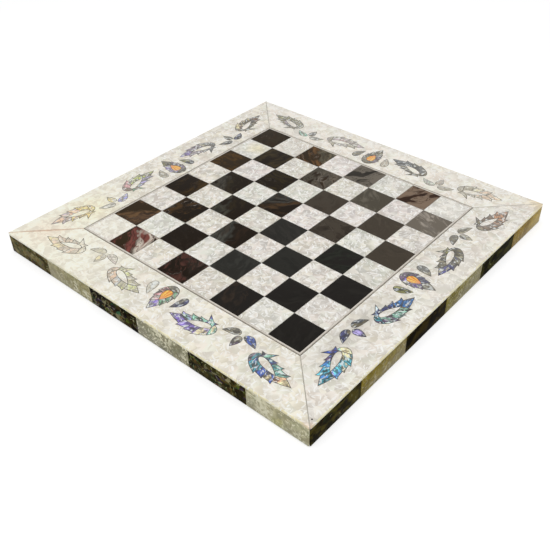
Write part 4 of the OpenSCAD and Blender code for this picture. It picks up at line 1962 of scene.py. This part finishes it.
@dataclass
class EdgeBand:
    """The band of light and dark blocks round the four edges."""

    edge_round: float = 0.15 * MM
    sparkle: Colour = (250, 246, 216)
    faint: float = 0.25
    bright: float = 0.9
    seed: int = 24

    # The light blocks are written darker and more olive than the top's pearl: partly their own colour,
    # partly painted shade and a painted olive reflection of the floor on the upright faces.
    LIGHT = {
        Side.FRONT: (
            ((150, 132, 36), (118, 101, 18), 0.25),
            ((144, 132, 48), (114, 103, 30), 0.35),
            ((168, 139, 46), (136, 109, 30), 0.2),
        ),
        Side.RIGHT: (
            ((174, 166, 126), (152, 144, 104), 0.5),
            ((166, 159, 118), (144, 136, 98), 0.4),
            ((172, 164, 128), (150, 142, 106), 0.6),
        ),
        Side.BACK: (
            ((170, 163, 124), (148, 140, 102), 0.6),
            ((178, 171, 136), (154, 148, 114), 0.5),
            ((172, 162, 120), (150, 140, 98), 0.4),
        ),
        Side.LEFT: (
            ((188, 180, 134), (152, 144, 101), 0.5),
            ((170, 166, 135), (138, 134, 105), 1.0),
            ((210, 205, 168), (174, 169, 134), 1.0),
        ),
    }
    DARK = {
        Side.FRONT: (
            ((32, 28, 10), (84, 76, 26), 0.12),
            ((20, 15, 3), (56, 46, 10), 0.0),
            ((24, 22, 8), (62, 60, 22), 0.05),
        ),
        Side.RIGHT: (
            ((26, 22, 9), (66, 58, 26), 0.3),
            ((30, 23, 8), (84, 64, 28), 0.6),
            ((26, 24, 9), (68, 66, 30), 0.5),
        ),
        Side.BACK: (
            ((26, 24, 10), (74, 66, 32), 0.4),
            ((26, 21, 9), (64, 64, 28), 0.7),
            ((30, 23, 8), (86, 64, 28), 0.6),
        ),
        Side.LEFT: (
            ((72, 64, 36), (142, 130, 90), 0.5),
            ((24, 18, 8), (68, 56, 28), 1.0),
            ((42, 37, 14), (98, 88, 42), 1.0),
        ),
    }
    STREAKS = (
        Stain((168 * MM, -BOARD_HALF, 8 * MM), 22 * MM, (206, 176, 66), 0.75),
        Stain((-BOARD_HALF, -148 * MM, 6 * MM), 9 * MM, (198, 194, 104), 0.5),
    )

    def build(self) -> None:
        """Models the blocks of each side and gives each its shell or pearl."""
        dark = CloudedSheet("dark_edge").material()
        light = PearlSheet("pearl_edge", 4.6 * MM, 0.5, self.sparkle, coat=0.06, shine=0.05,
                           stains_and_shading=self.STREAKS, glitter=self._glitter()).material()
        kinds = (("light", "pearl_edge", light, self.LIGHT), ("dark", "dark_edge", dark, self.DARK))
        self.rng = random.Random(self.seed)
        for side in Side:
            for kind, slot, material, tones in kinds:
                node = f"{kind}_edge_blocks_{side.label}"
                piece = eased(node, "faced", self.edge_round, 2, is_sharp)
                self._cut_blocks(side, piece, tones[side])
                mount(piece, slot, material, node)

    def _glitter(self) -> tuple[Stain, ...]:
        """Places the bright grains on the two near faces.

        Returns:
            The places where they gather.
        """
        front = ((-102, 6, 9), (-86, 8, 8), (24, 7, 8), (40, 12, 10))
        left = ((81, 8, 9), (66, 6, 8), (-28, 16, 16), (-34, 15, 10), (-56, 8, 8), (-132, 14, 14),
                (-138, 8, 12), (-170, 5, 8))
        spots = [((x * MM, -BOARD_HALF, z * MM), reach, self.faint) for x, z, reach in front]
        spots += [((-BOARD_HALF, y * MM, z * MM), reach, self.bright) for y, z, reach in left]
        return tuple(Stain(place, reach * MM, self.sparkle, strength, drift=6 * MM)
                     for place, reach, strength in spots)

    def _cut_blocks(self, side: Side, piece: Object, tones: Sequence[tuple[Colour, Colour, float]]) -> None:
        """Lays the pattern on the upright faces and gives each block its colours.

        Args:
            side: The side that the blocks cover.
            piece: The blocks of one kind.
            tones: The two colours and the amount of each block, from left to right.
        """
        cuttings = Cuttings(piece)
        parts = sorted(cuttings.parts, key=lambda part: side.as_front(cuttings.centre(part)).x)
        for part, tone in zip(parts, tones):
            shift = Vector((self.rng.uniform(0, 1), self.rng.uniform(0, 1), 0))

            def lay(point: Vector, shift: Vector = shift) -> Vector:
                """Unfolds a point of the block's face onto the sheet."""
                local = side.as_front(point)
                return Vector((local.x, point.z - local.y, 0)) + shift

            cuttings.cut(part, lay, *tone)


@dataclass
class Underside:
    """The wooden core and the felt below it."""

    corner: float = 4 * MM
    corner_facets: int = 8
    rim: float = 0.2 * MM

    def build(self) -> None:
        """Dresses the core and models the felt."""
        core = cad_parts["core_panel"]
        core.data.materials.clear()
        wood = Plywood("core_wood", (214, 180, 132), (176, 134, 88), (70, 48, 30))
        core.data.materials.append(wood.material())
        log.info("core_panel: kept, %d faces", len(core.data.polygons))
        self._felt()

    def _felt(self) -> None:
        """Models the felt: a thin sheet with round corners and a soft rim."""
        low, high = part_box("felt_base")
        width, thickness = high.x - low.x, high.z - low.z
        felt = slab(width, low.z, high.z)
        felt.name = "felt_sheet"
        with editing(felt):
            pick(felt, Pick.EDGES, lambda edge: abs(edge.verts[0].co.z - edge.verts[1].co.z) > thickness / 2)
            bpy.ops.mesh.bevel(offset=self.corner, segments=self.corner_facets, affect="EDGES")
        soften(felt, self.rim, 2, is_sharp)
        smooth(felt)
        mount(felt, "felt", Felt("felt", (24, 62, 40), (46, 92, 62)).material(), "felt_base")


@dataclass
class Studio:
    """A pale floor, soft lamps and the camera."""

    eye: Place = (-427.71 * MM, -375.12 * MM, 405.64 * MM)
    aim: Place = (-60.67 * MM, -61.47 * MM, 21.0 * MM)
    roll: float = -0.55
    lens: float = 47.877
    sensor: float = 36.0
    shift: float = -0.0273
    floor_half: float = 5.0
    floor_glow: float = 0.6
    floor_grey: float = 0.56
    air: float = 0.45

    def build(self) -> None:
        """Sets the stage."""
        self._floor()
        self._world()
        self._softbox("over", 1.8, 16.0, (-0.35, -0.25, 1.7))
        self._softbox("front", 1.2, 5.0, (-1.6, -1.7, 1.0))
        self._camera()
        bpy.context.scene.view_settings.view_transform = "Standard"

    def _floor(self) -> None:
        """Lays a pale floor that is white to the eye and still takes the board's shadow."""
        bpy.ops.mesh.primitive_plane_add(size=2 * self.floor_half, location=(0, 0, 0))
        floor = bpy.context.object
        floor.name = "floor"
        material = bpy.data.materials.new("pale_floor")
        material.use_nodes = True
        material.node_tree.nodes.clear()
        wiring = Wiring(material.node_tree)
        strength = wiring.seen() * self.floor_glow
        glow = wiring.add("ShaderNodeEmission", {"Color": (1, 1, 1, 1), "Strength": strength})[0]
        paint = wiring.add("ShaderNodeBsdfDiffuse", {"Color": (*[self.floor_grey] * 3, 1)})[0]
        both = wiring.add("ShaderNodeAddShader", {0: glow, 1: paint})[0]
        wiring.add("ShaderNodeOutputMaterial", {"Surface": both})
        floor.data.materials.append(material)

    def _world(self) -> None:
        """Gives a soft grey light all round, and a white background to the eye and to reflections."""
        world = bpy.data.worlds.new("studio_air")
        bpy.context.scene.world = world
        world.use_nodes = True
        world.node_tree.nodes.clear()
        wiring = Wiring(world.node_tree)
        strength = wiring.seen().ramp(0.0, 1.0, self.air, 1.0)
        air = wiring.add("ShaderNodeBackground", {"Color": (1, 1, 1, 1), "Strength": strength})[0]
        wiring.add("ShaderNodeOutputWorld", {"Surface": air})

    @staticmethod
    def _softbox(name: str, size: float, power: float, place: Place) -> None:
        """Hangs a square lamp that points at the board.

        Args:
            name: The lamp's name.
            size: The length of its side.
            power: Its power in watts.
            place: Where it hangs.
        """
        lamp = bpy.data.lights.new(f"softbox_{name}", "AREA")
        lamp.shape = "SQUARE"
        lamp.size = size
        lamp.energy = power
        holder = placed(lamp.name, lamp)
        holder.location = place
        holder.rotation_euler = (-Vector(place)).to_track_quat("-Z", "Y").to_euler()

    def _camera(self) -> None:
        """Sets the camera where the photograph was taken from."""
        camera = bpy.data.cameras.new("camera")
        camera.sensor_width = self.sensor
        camera.lens = self.lens
        camera.shift_x = self.shift
        holder = placed("camera", camera)
        turn = (Vector(self.aim) - Vector(self.eye)).to_track_quat("-Z", "Y").to_matrix()
        turn = turn @ Matrix.Rotation(math.radians(self.roll), 3, "Z")
        holder.matrix_world = Matrix.Translation(self.eye) @ turn.to_4x4()
        bpy.context.scene.camera = holder


def main() -> None:
    """Builds the board's looks, one sub-assembly after another."""
    logging.basicConfig(level=logging.INFO, format="%(name)s: %(message)s")
    Studio().build()
    Underside().build()
    Field().build()
    Lines().build()
    panels = Border().build()
    finishes = ShellFinishes()
    for side in Side:
        Ornament(side, finishes).build(panels[side])
    EdgeBand().build()


if __name__ == "__main__":
    main()
